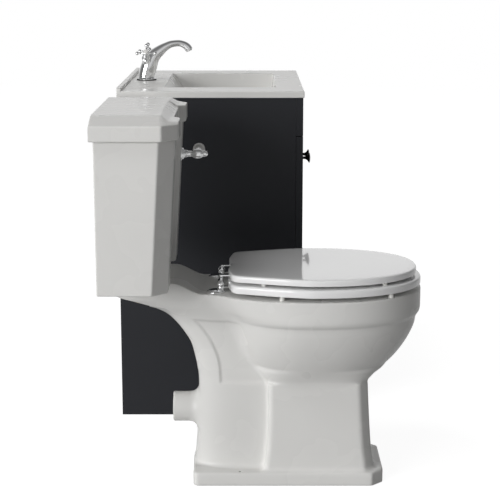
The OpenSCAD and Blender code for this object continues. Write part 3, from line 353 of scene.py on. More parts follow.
def new_mesh(name: str, points: np.ndarray, faces: Faces) -> bpy.types.Mesh:
    """Makes a mesh.

    Args:
        name: the mesh's name.
        points: n rows of x, y, z in metres.
        faces: the corner numbers of each face.

    Returns:
        The new mesh.
    """
    mesh = bpy.data.meshes.new(name)
    mesh.from_pydata(np.asarray(points, float).tolist(), [], [list(map(int, f)) for f in faces])
    return mesh


def rough(name: str, points: np.ndarray, faces: Faces) -> bpy.types.Object:
    """Makes an object that still has to be finished.

    Args:
        name: the object's name.
        points: n rows of x, y, z in metres.
        faces: the corner numbers of each face, outwards.

    Returns:
        The new object.
    """
    mesh = new_mesh(name, points, faces)
    mesh.validate()
    return new_object(name, mesh)


def edit(mesh: bpy.types.Mesh, change: Callable[[bmesh.types.BMesh], object]) -> None:
    """Opens a mesh, changes it and closes it again.

    Args:
        mesh: the mesh.
        change: what is done to it while it is open.
    """
    form = bmesh.new()
    form.from_mesh(mesh)
    change(form)
    form.to_mesh(mesh)
    form.free()


def face_out(mesh: bpy.types.Mesh) -> None:
    """Turns the faces of a closed mesh outwards."""
    edit(mesh, lambda form: bmesh.ops.recalc_face_normals(form, faces=form.faces))


def settle(thing: bpy.types.Object) -> None:
    """Applies the modifiers of an object.

    Args:
        thing: the object, which gets a plain mesh.
    """
    view = bpy.context.evaluated_depsgraph_get()
    mesh = bpy.data.meshes.new_from_object(thing.evaluated_get(view))
    thing.modifiers.clear()
    thing.data = mesh


def shade(thing: bpy.types.Object, smooth: float = SMOOTH) -> None:
    """Shades neighbouring faces as one where they meet below an angle in degrees."""
    thing.data.shade_smooth()
    thing.data.set_sharp_from_angle(angle=math.radians(smooth))


def flatten(thing: bpy.types.Object) -> None:
    """Lets the large faces of a piece set the normals, so that they shade flat.

    Args:
        thing: the piece.
    """
    shade(thing)
    weigh = thing.modifiers.new("weigh", "WEIGHTED_NORMAL")
    weigh.keep_sharp, weigh.weight = True, 100
    settle(thing)


def ease(thing: bpy.types.Object, width: float, segments: int, fine: float,
         arcs: bool = False) -> None:
    """Rounds the edges of a piece.

    Args:
        thing: the piece.
        width: how far the rounding reaches from an edge, in millimetres.
        segments: faces across each rounding.
        fine: the angle in degrees from which an edge is rounded.
        arcs: whether outer corners are drawn as arcs.
    """
    bevel = thing.modifiers.new("ease", "BEVEL")
    bevel.width = width * MM
    bevel.segments = segments
    bevel.limit_method = "ANGLE"
    bevel.angle_limit = math.radians(fine)
    if arcs:
        bevel.miter_outer = "MITER_ARC"
    settle(thing)


@dataclass
class Shop:
    """Dresses pieces and sets them on their bodies."""

    materials: dict[Slot, bpy.types.Material]
    made: list[str] = field(default_factory=list)

    def dress(self, thing: bpy.types.Object, slot: Slot, body: Body,
              stands_for: Sequence[str] = (), smooth: float = SMOOTH) -> bpy.types.Object:
        """Gives a piece its material, its shading and its body, and notes it in the log.

        Args:
            thing: the piece.
            slot: the record's material slot.
            body: the body that it rides on.
            stands_for: the CAD nodes that it replaces.
            smooth: the angle in degrees below which neighbouring faces shade as one.

        Returns:
            The piece.
        """
        thing.data.materials.clear()
        thing.data.materials.append(self.materials[slot])
        shade(thing, smooth)
        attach(thing, body.value)
        if stands_for:
            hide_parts(*stands_for)
        self.made.append(thing.name)
        LOG.info("%s: %d faces, on %s", thing.name, len(thing.data.polygons), body.value)
        return thing

    def piece(self, name: str, points: np.ndarray, faces: Faces, slot: Slot, body: Body,
              stands_for: Sequence[str] = (), smooth: float = SMOOTH) -> bpy.types.Object:
        """Makes one piece from points in metres, and dresses it.

        Args:
            name: the piece's name.
            points: n rows of x, y, z in metres.
            faces: the corner numbers of each face, outwards.
            slot: the record's material slot.
            body: the body that it rides on.
            stands_for: the CAD nodes that it replaces.
            smooth: the angle in degrees below which neighbouring faces shade as one.

        Returns:
            The new piece.
        """
        return self.dress(rough(name, points, faces), slot, body, stands_for, smooth)

    def eased_copy(self, node: str, width: float, slot: Slot, body: Body,
                   framed: bool = False) -> bpy.types.Object:
        """Copies a flat-sided CAD node and rounds its edges.

        Args:
            node: the CAD node's name.
            width: how far the rounding reaches from an edge, in millimetres.
            slot: the record's material slot.
            body: the body that it rides on.
            framed: whether flat faces go round openings, and so are joined only in pairs.

        Returns:
            The new piece, which stands for the node.
        """
        flat = math.radians(0.6)

        def merge(form: bmesh.types.BMesh) -> None:
            """Joins loose triangles into whole flat faces.

            Args:
                form: the open mesh.
            """
            bmesh.ops.remove_doubles(form, verts=form.verts, dist=TINY)
            if framed:
                bmesh.ops.join_triangles(form, faces=form.faces, angle_face_threshold=flat,
                                         angle_shape_threshold=math.pi)
            else:
                bmesh.ops.dissolve_limit(form, angle_limit=flat, verts=form.verts,
                                         edges=form.edges)

        mesh = frame["nodes"][node].data.copy()
        edit(mesh, merge)
        thing = new_object(node + "_eased", mesh)
        ease(thing, width, segments=2, fine=30.0, arcs=True)
        flatten(thing)
        return self.dress(thing, slot, body, [node])


@dataclass
class Assembly:
    """A sub-assembly, whose pieces are made in a shop."""

    shop: Shop


def grid_faces(rows: int, columns: int) -> list[tuple[int, ...]]:
    """Faces of a net of points, row after row, each row closed on itself.

    Args:
        rows: how many rows of points there are.
        columns: how many points a row has.

    Returns:
        Four corner numbers for each face.
    """
    return [(j * columns + i, j * columns + (i + 1) % columns,
             (j + 1) * columns + (i + 1) % columns, (j + 1) * columns + i)
            for j in range(rows - 1) for i in range(columns)]


def tube_faces(rows: int, columns: int) -> list[tuple[int, ...]]:
    """Faces of a net whose last row joins its first."""
    total = rows * columns
    return [tuple(c % total for c in f) for f in grid_faces(rows + 1, columns)]


def end_faces(rows: int, columns: int) -> list[tuple[int, ...]]:
    """The two faces that close a net at its first and its last row."""
    return [tuple(range(columns - 1, -1, -1)), tuple(range((rows - 1) * columns, rows * columns))]


def rod(radius: float, low: float, high: float) -> list[tuple[float, float]]:
    """The profile of a plain round rod between two heights."""
    return [(0, low), (radius, low), (radius, high), (0, high)]


def lathe(profile: Sequence[tuple[float, float]], steps: int) -> Solid:
    """Turns a profile round the Z axis.

    Args:
        profile: radius and height of each point, upwards along the outside; an end that lies on
            the axis is closed by a single point.
        steps: faces round the axis.

    Returns:
        The points, in millimetres, and the faces.
    """
    turn = np.arange(steps) * 2 * math.pi / steps
    points: list[tuple[float, float, float]] = []
    rings: list[list[int]] = []
    for radius, height in profile:
        if radius < TINY:
            rings.append([len(points)] * steps)
            points.append((0.0, 0.0, height))
        else:
            rings.append(list(range(len(points), len(points) + steps)))
            points.extend((radius * math.cos(a), radius * math.sin(a), height) for a in turn)
    faces = []
    for low, high in zip(rings, rings[1:]):
        for i in range(steps):
            j = (i + 1) % steps
            corners = [low[i], low[j], high[j], high[i]]
            faces.append(tuple(dict.fromkeys(corners)))
    return np.array(points), [f for f in faces if len(f) > 2]


def rounded(profile: Sequence[tuple[float, float]], reach: float,
            steps: int = 3) -> list[tuple[float, float]]:
    """Rounds the inner corners of an open profile.

    Args:
        profile: the corners, as pairs.
        reach: how far a rounding goes along each side, at most.
        steps: points added to a corner.

    Returns:
        The profile with its corners rounded.
    """
    line = [np.array(p, float) for p in profile]
    out = [tuple(line[0])]
    for before, corner, after in zip(line, line[1:], line[2:]):
        a, b = before - corner, after - corner
        la, lb = np.linalg.norm(a), np.linalg.norm(b)
        r = min(reach, 0.45 * la, 0.45 * lb)
        start, end = corner + a / la * r, corner + b / lb * r
        for t in (k / steps for k in range(steps + 1)):
            out.append(tuple((1 - t) ** 2 * start + 2 * t * (1 - t) * corner + t * t * end))
    out.append(tuple(line[-1]))
    return out


def along(points: np.ndarray, place: Point, axis: Point) -> np.ndarray:
    """Puts points that were made round Z onto another axis.

    Args:
        points: n rows in millimetres, made round the Z axis.
        place: where their origin goes, as (x, d, z).
        axis: the direction that Z turns to, in the frame.

    Returns:
        n rows in metres.
    """
    turn = np.array(Vector(axis).to_track_quat("Z", "Y").to_matrix())
    x, d, z = place
    return (np.asarray(points) @ turn.T + np.array([x, WALL - d, z])) * MM


def turned(profile: Sequence[tuple[float, float]], steps: int, place: Point,
           axis: Point) -> Solid:
    """Turns a profile round an axis.

    Args:
        profile: radius of each point, and its place along the axis.
        steps: faces round the axis.
        place: where the profile's height 0 goes, as (x, d, z).
        axis: the direction of the axis, in the frame.

    Returns:
        The points, in metres, and the faces.
    """
    points, faces = lathe(profile, steps)
    return along(points, place, axis), faces


def join(parts: Sequence[Solid]) -> Solid:
    """Puts several forms together as one.

    Args:
        parts: the points and faces of each form.

    Returns:
        The points and faces of all.
    """
    points, faces, base = [], [], 0
    for some, corners in parts:
        points.append(some)
        faces.extend([tuple(c + base for c in f) for f in corners])
        base += len(some)
    return np.vstack(points), faces


def eased(knots: Sequence[float], values: Sequence[float]) -> Callable[[np.ndarray], np.ndarray]:
    """A smooth curve through points, with no overshoot between them.

    Args:
        knots: rising places.
        values: the value at each.

    Returns:
        The curve, as a function of an array of places.
    """
    x, y = np.array(knots, float), np.array(values, float)
    h, slope = np.diff(x), np.diff(y) / np.diff(x)
    m = np.zeros_like(y)
    same = slope[:-1] * slope[1:] > 0
    w1, w2 = 2 * h[1:] + h[:-1], h[1:] + 2 * h[:-1]
    inner = np.zeros(len(slope) - 1)
    inner[same] = (w1 + w2)[same] / (w1[same] / slope[:-1][same] + w2[same] / slope[1:][same])
    m[1:-1], m[0], m[-1] = inner, slope[0], slope[-1]

    def curve(at: np.ndarray) -> np.ndarray:
        """Works the curve out.

        Args:
            at: the places.

        Returns:
            The value at each.
        """
        q = np.clip(at, x[0], x[-1])
        k = np.clip(np.searchsorted(x, q) - 1, 0, len(h) - 1)
        t = (q - x[k]) / h[k]
        return ((1 + 2 * t) * (1 - t) ** 2 * y[k] + t * (1 - t) ** 2 * h[k] * m[k]
                + t * t * (3 - 2 * t) * y[k + 1] + t * t * (t - 1) * h[k] * m[k + 1])

    return curve


def melt(a: np.ndarray, b: np.ndarray, reach: float) -> np.ndarray:
    """The union of two forms, with a fillet of that reach where they meet."""
    h = np.maximum(reach - np.abs(a - b), 0.0) / reach
    return np.minimum(a, b) - h * h * reach * 0.25


def meet(a: np.ndarray, b: np.ndarray, reach: float) -> np.ndarray:
    """The common part of two forms, with an edge rounded over that reach."""
    return -melt(-a, -b, reach)


def net_of(form: Field, low: Point, high: Point, step: float) -> Solid:
    """Draws a net of four-sided faces over a form.

    The net has a point in each cell that the surface passes through, at the middle of its
    crossings, and a face round each edge that the surface crosses.

    Args:
        form: gives how far places lie outside the form, below 0 inside.
        low: the lowest corner of the space that is searched.
        high: its highest corner.
        step: the size of a face.

    Returns:
        The points as (x, d, z), and the faces.
    """
    axes = [np.arange(a, b + step, step) for a, b in zip(low, high)]
    value = form(tuple(np.meshgrid(*axes, indexing="ij"))).astype(np.float32)
    inside = value < 0
    shape = np.array(value.shape)
    count = np.zeros(tuple(shape - 1), int)
    place = np.zeros((*(shape - 1), 3))
    quads = []
    for axis in range(3):
        one, two = (axis + 1) % 3, (axis + 2) % 3
        ahead = np.roll(inside, -1, axis)
        cross = inside != ahead
        edge = [slice(None)] * 3
        edge[axis] = slice(-1, None)
        cross[tuple(edge)] = False
        at = np.argwhere(cross)
        at = at[(at[:, one] > 0) & (at[:, two] > 0) & (at[:, one] < shape[one] - 1)
                & (at[:, two] < shape[two] - 1)]
        after = at.copy()
        after[:, axis] += 1
        v0, v1 = value[tuple(at.T)], value[tuple(after.T)]
        point = np.column_stack([axes[k][at[:, k]] for k in range(3)]).astype(float)
        point[:, axis] += v0 / (v0 - v1) * step
        cells = []
        for back_one, back_two in ((0, 0), (1, 0), (1, 1), (0, 1)):
            cell = at.copy()
            cell[:, one] -= back_one
            cell[:, two] -= back_two
            np.add.at(place, tuple(cell.T), point)
            np.add.at(count, tuple(cell.T), 1)
            cells.append(np.ravel_multi_index(tuple(cell.T), tuple(shape - 1)))
        quad = np.column_stack(cells)
        flipped = ~inside[tuple(at.T)]
        quad[flipped] = quad[flipped][:, ::-1]
        quads.append(quad)
    used = count > 0
    number = np.full(used.size, -1)
    number[used.ravel()] = np.arange(used.sum())
    points = place[used] / count[used][:, None]
    faces = number[np.vstack(quads)]
    return draw_onto(form, points, step), faces[:, ::-1]


def draw_onto(form: Field, points: np.ndarray, step: float, rounds: int = 4) -> np.ndarray:
    """Moves points onto the surface of a form.

    Args:
        form: gives how far places lie outside the form, below 0 inside.
        points: n rows near the surface.
        step: the size of a face; a point moves half of it at most in a round.
        rounds: how often the points are moved.

    Returns:
        The points on the surface.
    """
    probe = 0.02 * step
    least = 0.05
    for _ in range(rounds):
        here = form(tuple(points.T))
        slope = np.column_stack([
            (form(tuple((points + probe * way).T)) - form(tuple((points - probe * way).T)))
            / (2 * probe) for way in np.eye(3)])
        size = np.maximum((slope ** 2).sum(1), least)
        shift = slope * (here / size)[:, None]
        length = np.linalg.norm(shift, axis=1, keepdims=True)
        points -= shift * np.minimum(1.0, 0.5 * step / np.maximum(length, 1e-9))
    return points


def cut(thing: bpy.types.Object, points: np.ndarray, faces: Faces) -> None:
    """Cuts a shape out of a piece.

    Args:
        thing: the piece.
        points: the cutter's points, in metres.
        faces: the cutter's faces.
    """
    mesh = new_mesh("cutter", points, faces)
    face_out(mesh)
    cutter = new_object("cutter", mesh)
    boolean = thing.modifiers.new("cut", "BOOLEAN")
    boolean.operation = "DIFFERENCE"
    boolean.solver = "EXACT"
    boolean.object = cutter
    settle(thing)
    bpy.data.objects.remove(cutter)


def box_form(low: Point, high: Point, middle: float) -> Solid:
    """Makes a block.

    Args:
        low: its lowest corner, as (x, d, z).
        high: its highest corner.
        middle: x of the piece's centre line.

    Returns:
        The points, in metres, and the faces.
    """
    corners = [(x, d, z) for x in (low[0], high[0]) for d in (low[1], high[1])
               for z in (low[2], high[2])]
    faces = [(0, 1, 3, 2), (4, 6, 7, 5), (0, 4, 5, 1), (2, 3, 7, 6), (0, 2, 6, 4), (1, 5, 7, 3)]
    return to_frame(np.array(corners, float), middle), faces


# Repeated forms


@dataclass
class Repeats(Assembly):
    """Pieces that repeat or follow a rule, made with Geometry Nodes and turned into plain meshes."""

    bead_place: tuple[float, float] = (50.5, 814.6)
    bead_count: int = 26
    bead_ring: float = 23.6
    bead_r: float = 2.2
    bead_squash: float = 0.85
    inlet: Point = (178.0, 46.0, 414.2)
    inlet_turns: float = 15.0
    inlet_r: float = 10.2
    inlet_length: float = 27.0
    ridge_r: float = 0.7
    # The hole rows are small black discs on the side panels: painted shade where the drilled holes are.
    hole_row_sides: tuple[float, float] = (-291.0, 290.4)
    hole_row_ds: tuple[float, float] = (70.0, 360.0)
    hole_row_low: float = 210.0
    hole_row_step: float = 32.0
    hole_row_count: int = 14

    @staticmethod
    def tree(name: str, inputs: dict) -> tuple[Nodes, bpy.types.Node, bpy.types.Node]:
        """Starts a geometry tree with named inputs.

        Args:
            name: the tree's name.
            inputs: default value of each input, by name.

        Returns:
            The tree, its input node and its output node.
        """
        group = bpy.data.node_groups.new(name, "GeometryNodeTree")
        group.interface.new_socket("Geometry", in_out="OUTPUT", socket_type="NodeSocketGeometry")
        kinds = {int: "NodeSocketInt", float: "NodeSocketFloat", tuple: "NodeSocketVector"}
        for key, value in inputs.items():
            socket = group.interface.new_socket(key, in_out="INPUT", socket_type=kinds[type(value)])
            socket.default_value = value
        group.interface.new_socket("Finish", in_out="INPUT", socket_type="NodeSocketMaterial")
        nodes = Nodes(group)
        return nodes, nodes.add("NodeGroupInput"), nodes.add("NodeGroupOutput")

    @staticmethod
    def close(nodes: Nodes, given: bpy.types.Node, out: bpy.types.Node,
              geometry: bpy.types.NodeSocket) -> bpy.types.NodeTree:
        """Ends a tree: makes its instances real and gives them their material.

        Args:
            nodes: the tree.
            given: its input node.
            out: its output node.
            geometry: what the tree has made so far.

        Returns:
            The finished tree.
        """
        real = nodes.add("GeometryNodeRealizeInstances", {"Geometry": geometry})
        dressed = nodes.add("GeometryNodeSetMaterial", {
            "Geometry": real.outputs[0], "Material": given.outputs["Finish"]})
        nodes.tree.links.new(dressed.outputs[0], out.inputs["Geometry"])
        return nodes.tree

    def bead_tree(self) -> bpy.types.NodeTree:
        """Makes the tree of beads at even steps round a circle.

        Returns:
            The tree.
        """
        nodes, given, out = self.tree("beads_round", {
            "Count": 24, "Radius": 0.02, "Bead": 0.001, "Stretch": (1.0, 1.0, 1.0)})
        circle = nodes.add("GeometryNodeMeshCircle", {
            "Vertices": given.outputs["Count"], "Radius": given.outputs["Radius"]})
        bead = nodes.add("GeometryNodeMeshIcoSphere", {
            "Radius": given.outputs["Bead"], "Subdivisions": 3})
        placed = nodes.add("GeometryNodeInstanceOnPoints", {
            "Points": circle.outputs[0], "Instance": bead.outputs[0],
            "Scale": given.outputs["Stretch"]})
        return self.close(nodes, given, out, placed.outputs[0])

    def thread_tree(self) -> bpy.types.NodeTree:
        """Makes the tree of a screw thread, a ridge that winds up round an axis.

        Returns:
            The tree.
        """
        nodes, given, out = self.tree("thread", {
            "Turns": 10.0, "Radius": 0.01, "Height": 0.02, "Ridge": 0.0005})
        coil = nodes.add("GeometryNodeCurveSpiral", {
            "Resolution": 40, "Rotations": given.outputs["Turns"],
            "Start Radius": given.outputs["Radius"], "End Radius": given.outputs["Radius"],
            "Height": given.outputs["Height"]})
        ridge = nodes.add("GeometryNodeCurvePrimitiveCircle", {
            "Resolution": 6, "Radius": given.outputs["Ridge"]})
        tube = nodes.add("GeometryNodeCurveToMesh", {
            "Curve": coil.outputs[0], "Profile Curve": ridge.outputs[0], "Fill Caps": True})
        return self.close(nodes, given, out, tube.outputs[0])

    def shade_disc_tree(self) -> bpy.types.NodeTree:
        """Makes the tree of small round discs at even steps up a line: painted shade for rows of
        drilled holes.

        Returns:
            The tree.
        """
        nodes, given, out = self.tree("hole_shade_disc_row", {
            "Count": 8, "Step": (0.0, 0.0, 0.032), "Radius": 0.0025, "Top": 0.0016,
            "Rise": 0.0006})
        line = nodes.add("GeometryNodeMeshLine", {
            "Count": given.outputs["Count"], "Offset": given.outputs["Step"]})
        cap = nodes.add("GeometryNodeMeshCone", {
            "Vertices": 24, "Radius Bottom": given.outputs["Radius"],
            "Radius Top": given.outputs["Top"], "Depth": given.outputs["Rise"]})
        placed = nodes.add("GeometryNodeInstanceOnPoints", {
            "Points": line.outputs[0], "Instance": cap.outputs["Mesh"],
            "Rotation": (0.0, math.pi / 2, 0.0)})
        return self.close(nodes, given, out, placed.outputs[0])

    def make(self, name: str, tree: bpy.types.NodeTree, values: dict, places: Sequence[Point],
             slot: Slot, body: Body) -> bpy.types.Object:
        """Runs a tree, turns what it makes into one plain mesh and copies it to its places.

        Args:
            name: the new piece's name.
            tree: the geometry tree.
            values: the inputs that differ from the tree's defaults, by name.
            places: where the result goes, as (x, d, z) in millimetres.
            slot: the record's material slot.
            body: the body that it rides on.

        Returns:
            The new piece.
        """
        thing = new_object(name, bpy.data.meshes.new(name))
        modifier = thing.modifiers.new("repeat", "NODES")
        modifier.node_group = tree
        for item in tree.interface.items_tree:
            if item.in_out == "INPUT" and item.name in values:
                modifier[item.identifier] = values[item.name]
            elif item.in_out == "INPUT" and item.name == "Finish":
                modifier[item.identifier] = self.shop.materials[slot]
        settle(thing)

        def copies(form: bmesh.types.BMesh) -> None:
            """Puts a copy at each place and takes away the first one.

            Args:
                form: the open mesh.
            """
            count = len(form.verts)
            base = list(form.verts) + list(form.edges) + list(form.faces)
            for x, d, z in places:
                made = bmesh.ops.duplicate(form, geom=base)["geom"]
                bmesh.ops.translate(form, vec=Vector((x, WALL - d, z)) * MM,
                                    verts=[v for v in made if isinstance(v, bmesh.types.BMVert)])
            bmesh.ops.delete(form, geom=base[:count], context="VERTS")
            bmesh.ops.recalc_face_normals(form, faces=form.faces)

        edit(thing.data, copies)
        return self.shop.dress(thing, slot, body)

    def build(self) -> None:
        """Makes every repeated piece."""
        beads, thread, row = self.bead_tree(), self.thread_tree(), self.shade_disc_tree()
        self.make("tap_base_beads", beads, {
            "Count": self.bead_count, "Radius": self.bead_ring * MM, "Bead": self.bead_r * MM,
            "Stretch": (1.0, 1.0, self.bead_squash)},
            [(VAN_X, *self.bead_place)], Slot.RUBBER, Body.ROOT)
        x, d, z = self.inlet
        self.make("inlet_thread", thread, {
            "Turns": self.inlet_turns, "Radius": self.inlet_r * MM,
            "Height": self.inlet_length * MM, "Ridge": self.ridge_r * MM},
            [(WC_X + x, d, z)], Slot.BRASS, Body.ROOT)
        # Black discs up the inside of the side panels: painted shade that stands for the drilled shelf
        # holes.
        self.make("shelf_hole_shade_discs", row, {
            "Count": self.hole_row_count, "Step": (0.0, 0.0, self.hole_row_step * MM)},
            [(VAN_X + x, d, self.hole_row_low) for x in self.hole_row_sides for d in self.hole_row_ds],
            Slot.KNOB, Body.ROOT)


# The pan


@dataclass
class Pan(Assembly):
    """The glazed pan: bowl, collar, pedestal, plinth, deck and spigot as one casting."""

    rim: float = 429.0
    rim_round: float = 2.4
    deck_top: float = 452.6
    deck_end: float = 152.5
    deck_fall: float = 70.0
    bowl_low: float = 206.0
    bowl_low_round: float = 10.0
    bowl_powers: tuple[float, float] = (2.2, 2.25)
    bowl_square: tuple[float, float, float] = (262.0, 36.0, 2.5)
    bowl_fillet: float = 7.0
    bowl_fillet_grows: tuple = ((240.0, 60.0, 12.0), (330.0, 60.0, 8.0))
    leg_front: float = 420.0
    leg_edge: float = 4.0
    leg_power: float = 9.0
    leg_fillet: float = 9.0
    panel_front: float = 375.0
    panel_low: float = 219.0
    panel_high: float = 371.0
    panel_back: float = 195.0
    panel_slope: float = 0.04
    panel_deep: float = 5.0
    panel_ramp: float = 8.0
    block_top: float = 226.0
    block_top_round: float = 3.0
    block_edge: float = 6.0
    block_chamfer: float = 20.0
    block_chamfer_round: float = 5.0
    block_rear_round: float = 12.0
    plinth_half: float = 100.0
    plinth_front: float = 612.0
    plinth_back: float = 197.0
    plinth_top: float = 32.0
    plinth_top_round: float = 5.0
    plinth_fall: tuple[float, float, float] = (66.0, 34.0, 3.0)
    plinth_chamfers: tuple[float, float] = (26.0, 8.0)
    plinth_chamfer_round: float = 3.0
    plinth_edge: float = 4.0
    plinth_fillet: float = 10.0
    spigot_z: float = 150.0
    spigot_r: float = 33.0
    spigot_wall: float = 8.0
    spigot_end: float = 151.0
    spigot_start: float = 240.0
    spigot_edge: float = 3.0
    spigot_root: float = 22.0
    bore_start: float = 250.0
    bore_round: float = 20.0
    mouth_low: float = 205.0
    mouth_low_round: float = 14.0
    mouth_powers: tuple[float, float] = (2.1, 2.3)
    mouth_round: float = 7.0
    throat: tuple[float, float] = (372.0, 236.0)
    throat_run: tuple[float, float] = (0.883, 0.469)
    throat_length: float = 92.0
    throat_r: float = 23.0
    throat_fillet: float = 8.0
    hollow_half: float = 52.0
    hollow: tuple[float, float] = (310.0, 520.0)
    hollow_top: float = 104.0
    notch_inner: tuple[float, float, float] = (83.0, 294.0, 26.0)
    notch_outer: tuple[float, float, float] = (106.0, 277.5, 19.0)
    notch_back: float = 324.5
    notch_top: float = 52.0
    screw: tuple[float, float] = (91.0, 299.0)
    screw_r: float = 3.2
    bolt_half: float = 64.0
    pocket_half: float = 17.0
    pocket_d: tuple[float, float] = (58.0, 106.0)
    pocket_z: tuple[float, float] = (366.0, 414.0)
    mesh_low: Point = (-183.0, 12.0, -6.0)
    mesh_high: Point = (183.0, 700.0, 462.0)
    mesh_step: float = 3.4

    def __post_init__(self) -> None:
        """Sets out the lines that the levels of the pan follow."""
        z = (190, 214, 232, 244, 256, 278, 302, 326, 350, 369, 374, 381, 389, 429)
        self.bowl_front = eased(z, (545, 564, 584, 597, 616, 638, 656, 670, 680, 684, 687, 691,
                                    692, 692))
        self.bowl_half = eased(z, (66, 80, 90, 98, 108, 127, 143, 155, 162.5, 166, 171, 174.4,
                                   175, 175))
        self.bowl_mid = eased(z, (440, 450, 455, 458, 460, 462, 460, 456, 452, 450, 450, 450,
                                  450, 450))
        self.bowl_rear = eased(z, (366, 358, 348, 336, 324, 308, 299, 292, 284, 275, 272, 266,
                                   256, 216))
        leg = (0, 50, 98, 164, 208, 214, 232, 244, 256, 278, 302, 326, 350, 374, 389, 398, 408,
               416, 424, 455)
        self.leg_rear = eased(leg, (197, 200, 204, 207, 208, 208, 207, 205, 203, 198, 191, 177,
                                    159, 134, 106, 82, 57, 34, 22, 22))
        self.leg_half = eased(leg, (70, 69, 68, 67, 67, 67, 67, 67, 66, 66, 67, 70, 75, 84, 90,
                                    93, 95, 96.5, 96.5, 96.5))
        self.leg_mid = eased(leg, (340, 340, 340, 340, 338, 338, 334, 330, 324, 311, 304, 298,
                                   292, 278, 264, 250, 236, 222, 216, 216))
        self.leg_round = eased(leg, (3.4, 3.4, 3.4, 3.4, 3.2, 3.2, 3.0, 3.0, 3.0, 2.8, 2.8, 2.8,
                                     2.8, 2.9, 3.2, 4.0, 5.0, 6.0, 7.0, 7.0))
        block = (0, 22, 88, 180, 236, 260)
        self.block_front = eased(block, (594, 593, 585, 579, 576, 574))
        self.block_half = eased(block, (89, 89, 88, 86, 86, 86))
        self.block_rear = eased(block, (346, 350, 358, 361, 360, 352))
        self.ridge = eased((214, 261, 307, 344, 374), (254, 251, 237, 215, 191))
        inside = (205, 225, 262, 310, 365, 405, 440)
        self.mouth_front = eased(inside, (492, 517, 563, 607, 637, 647, 648))
        self.mouth_half = eased(inside, (36, 50, 78, 106, 124, 129, 130))
        self.mouth_rear = eased(inside, (361, 347, 337, 329, 321, 315, 313))
        self.mouth_mid = eased(inside, (415, 415, 425, 438, 446, 448, 448))

    @staticmethod
    def oval(x: np.ndarray, d: np.ndarray, half: np.ndarray, mid: np.ndarray, front: np.ndarray,
             rear: np.ndarray, power_front: np.ndarray | float,
             power_rear: np.ndarray | float) -> np.ndarray:
        """Measures how far places lie outside a level's oval line, along the ray to its middle.

        Args:
            x: distance of each place from the centre line.
            d: its distance from the wall.
            half: half the oval's width.
            mid: where the oval is widest, from the wall.
            front: where it ends in front.
            rear: where it ends at the wall's side.
            power_front: how square its front half is; 2 is an ellipse.
            power_rear: how square its rear half is.

        Returns:
            The distances, below 0 inside.
        """
        ahead = d > mid
        length = np.where(ahead, front - mid, mid - rear)
        power = np.where(ahead, power_front, power_rear)
        u, v = np.abs(x) / half, np.abs(d - mid) / length
        size = np.maximum(u ** power + v ** power, 1e-9) ** (1 / power)
        reach = np.hypot(x, d - mid)
        return (reach + 0.5) * (1 - 1 / np.maximum(size, 0.02))

    @staticmethod
    def ramp(at: np.ndarray, start: float, run: float) -> np.ndarray:
        """A share that rises from 0 at start to 1 after run."""
        return np.clip((at - start) / run, 0, 1)

    def bowl(self, at: Places) -> np.ndarray:
        """The bowl, which is squarer where it grows out of the block.

        Args:
            at: x, d and z of the places.

        Returns:
            How far each place lies outside, below 0 inside.
        """
        x, d, z = at
        start, run, most = self.bowl_square
        square = most * np.clip((start - z) / run, 0, 1)
        ahead, behind = self.bowl_powers
        line = self.oval(x, d, self.bowl_half(z), self.bowl_mid(z), self.bowl_front(z),
                         self.bowl_rear(z), ahead + square, behind + square)
        return meet(line, self.bowl_low - z, self.bowl_low_round)

    def leg(self, at: Places) -> np.ndarray:
        """The rear leg and deck, with a shallow panel between its ridge and the bowl.

        Args:
            at: x, d and z of the places.

        Returns:
            How far each place lies outside, below 0 inside.
        """
        x, d, z = at
        beyond = 400.0
        form = self.oval(x, d, self.leg_half(z), self.leg_mid(z), self.leg_mid(z) + beyond,
                         self.leg_rear(z), self.leg_power, self.leg_round(z))
        form = np.where(d > self.leg_mid(z), np.abs(x) - self.leg_half(z), form)
        form = meet(form, d - self.leg_front, self.leg_edge)
        fall = self.panel_slope * (d - self.panel_back)
        panel = np.maximum.reduce([self.ridge(z) - d, d - self.panel_front, self.panel_low - z,
                                   z - self.panel_high + fall])
        depth = np.clip(-panel / self.panel_ramp, 0, 1)
        return form + self.panel_deep * depth * depth * (3 - 2 * depth)

    def block(self, at: Places) -> np.ndarray:
        """The block under the bowl, with its front corners cut off.

        Args:
            at: x, d and z of the places.

        Returns:
            How far each place lies outside, below 0 inside.
        """
        side, d, z = np.abs(at[0]), at[1], at[2]
        front, half = self.block_front(z), self.block_half(z)
        form = meet(side - half, d - front, self.block_edge)
        form = meet(form, (side + d - front - half + self.block_chamfer) * DIAGONAL,
                    self.block_chamfer_round)
        form = meet(form, self.block_rear(z) - d, self.block_rear_round)
        return meet(form, z - self.block_top, self.block_top_round)

    def plinth(self, at: Places) -> np.ndarray:
        """The plinth, whose upper face falls away towards its sides.

        Args:
            at: x, d and z of the places.

        Returns:
            How far each place lies outside, below 0 inside.
        """
        side, d, z = np.abs(at[0]), at[1], at[2]
        half, front, back = self.plinth_half, self.plinth_front, self.plinth_back
        ahead, behind = self.plinth_chamfers
        form = meet(side - half, d - front, self.plinth_edge)
        form = meet(form, (side + d - half - front + ahead) * DIAGONAL, self.plinth_chamfer_round)
        form = meet(form, back - d, self.plinth_edge)
        form = meet(form, (side - d - half + back + behind) * DIAGONAL, self.plinth_chamfer_round)
        start, run, fall = self.plinth_fall
        top = self.plinth_top - fall * self.ramp(side, start, run)
        return meet(form, z - top, self.plinth_top_round)

    def spigot(self, at: Places) -> np.ndarray:
        """The spigot that the soil pipe goes on.

        Args:
            at: x, d and z of the places.

        Returns:
            How far each place lies outside, below 0 inside.
        """
        x, d, z = at
        form = np.hypot(x, z - self.spigot_z) - self.spigot_r
        form = meet(form, self.spigot_end - d, self.spigot_edge)
        return meet(form, d - self.spigot_start, self.spigot_edge)

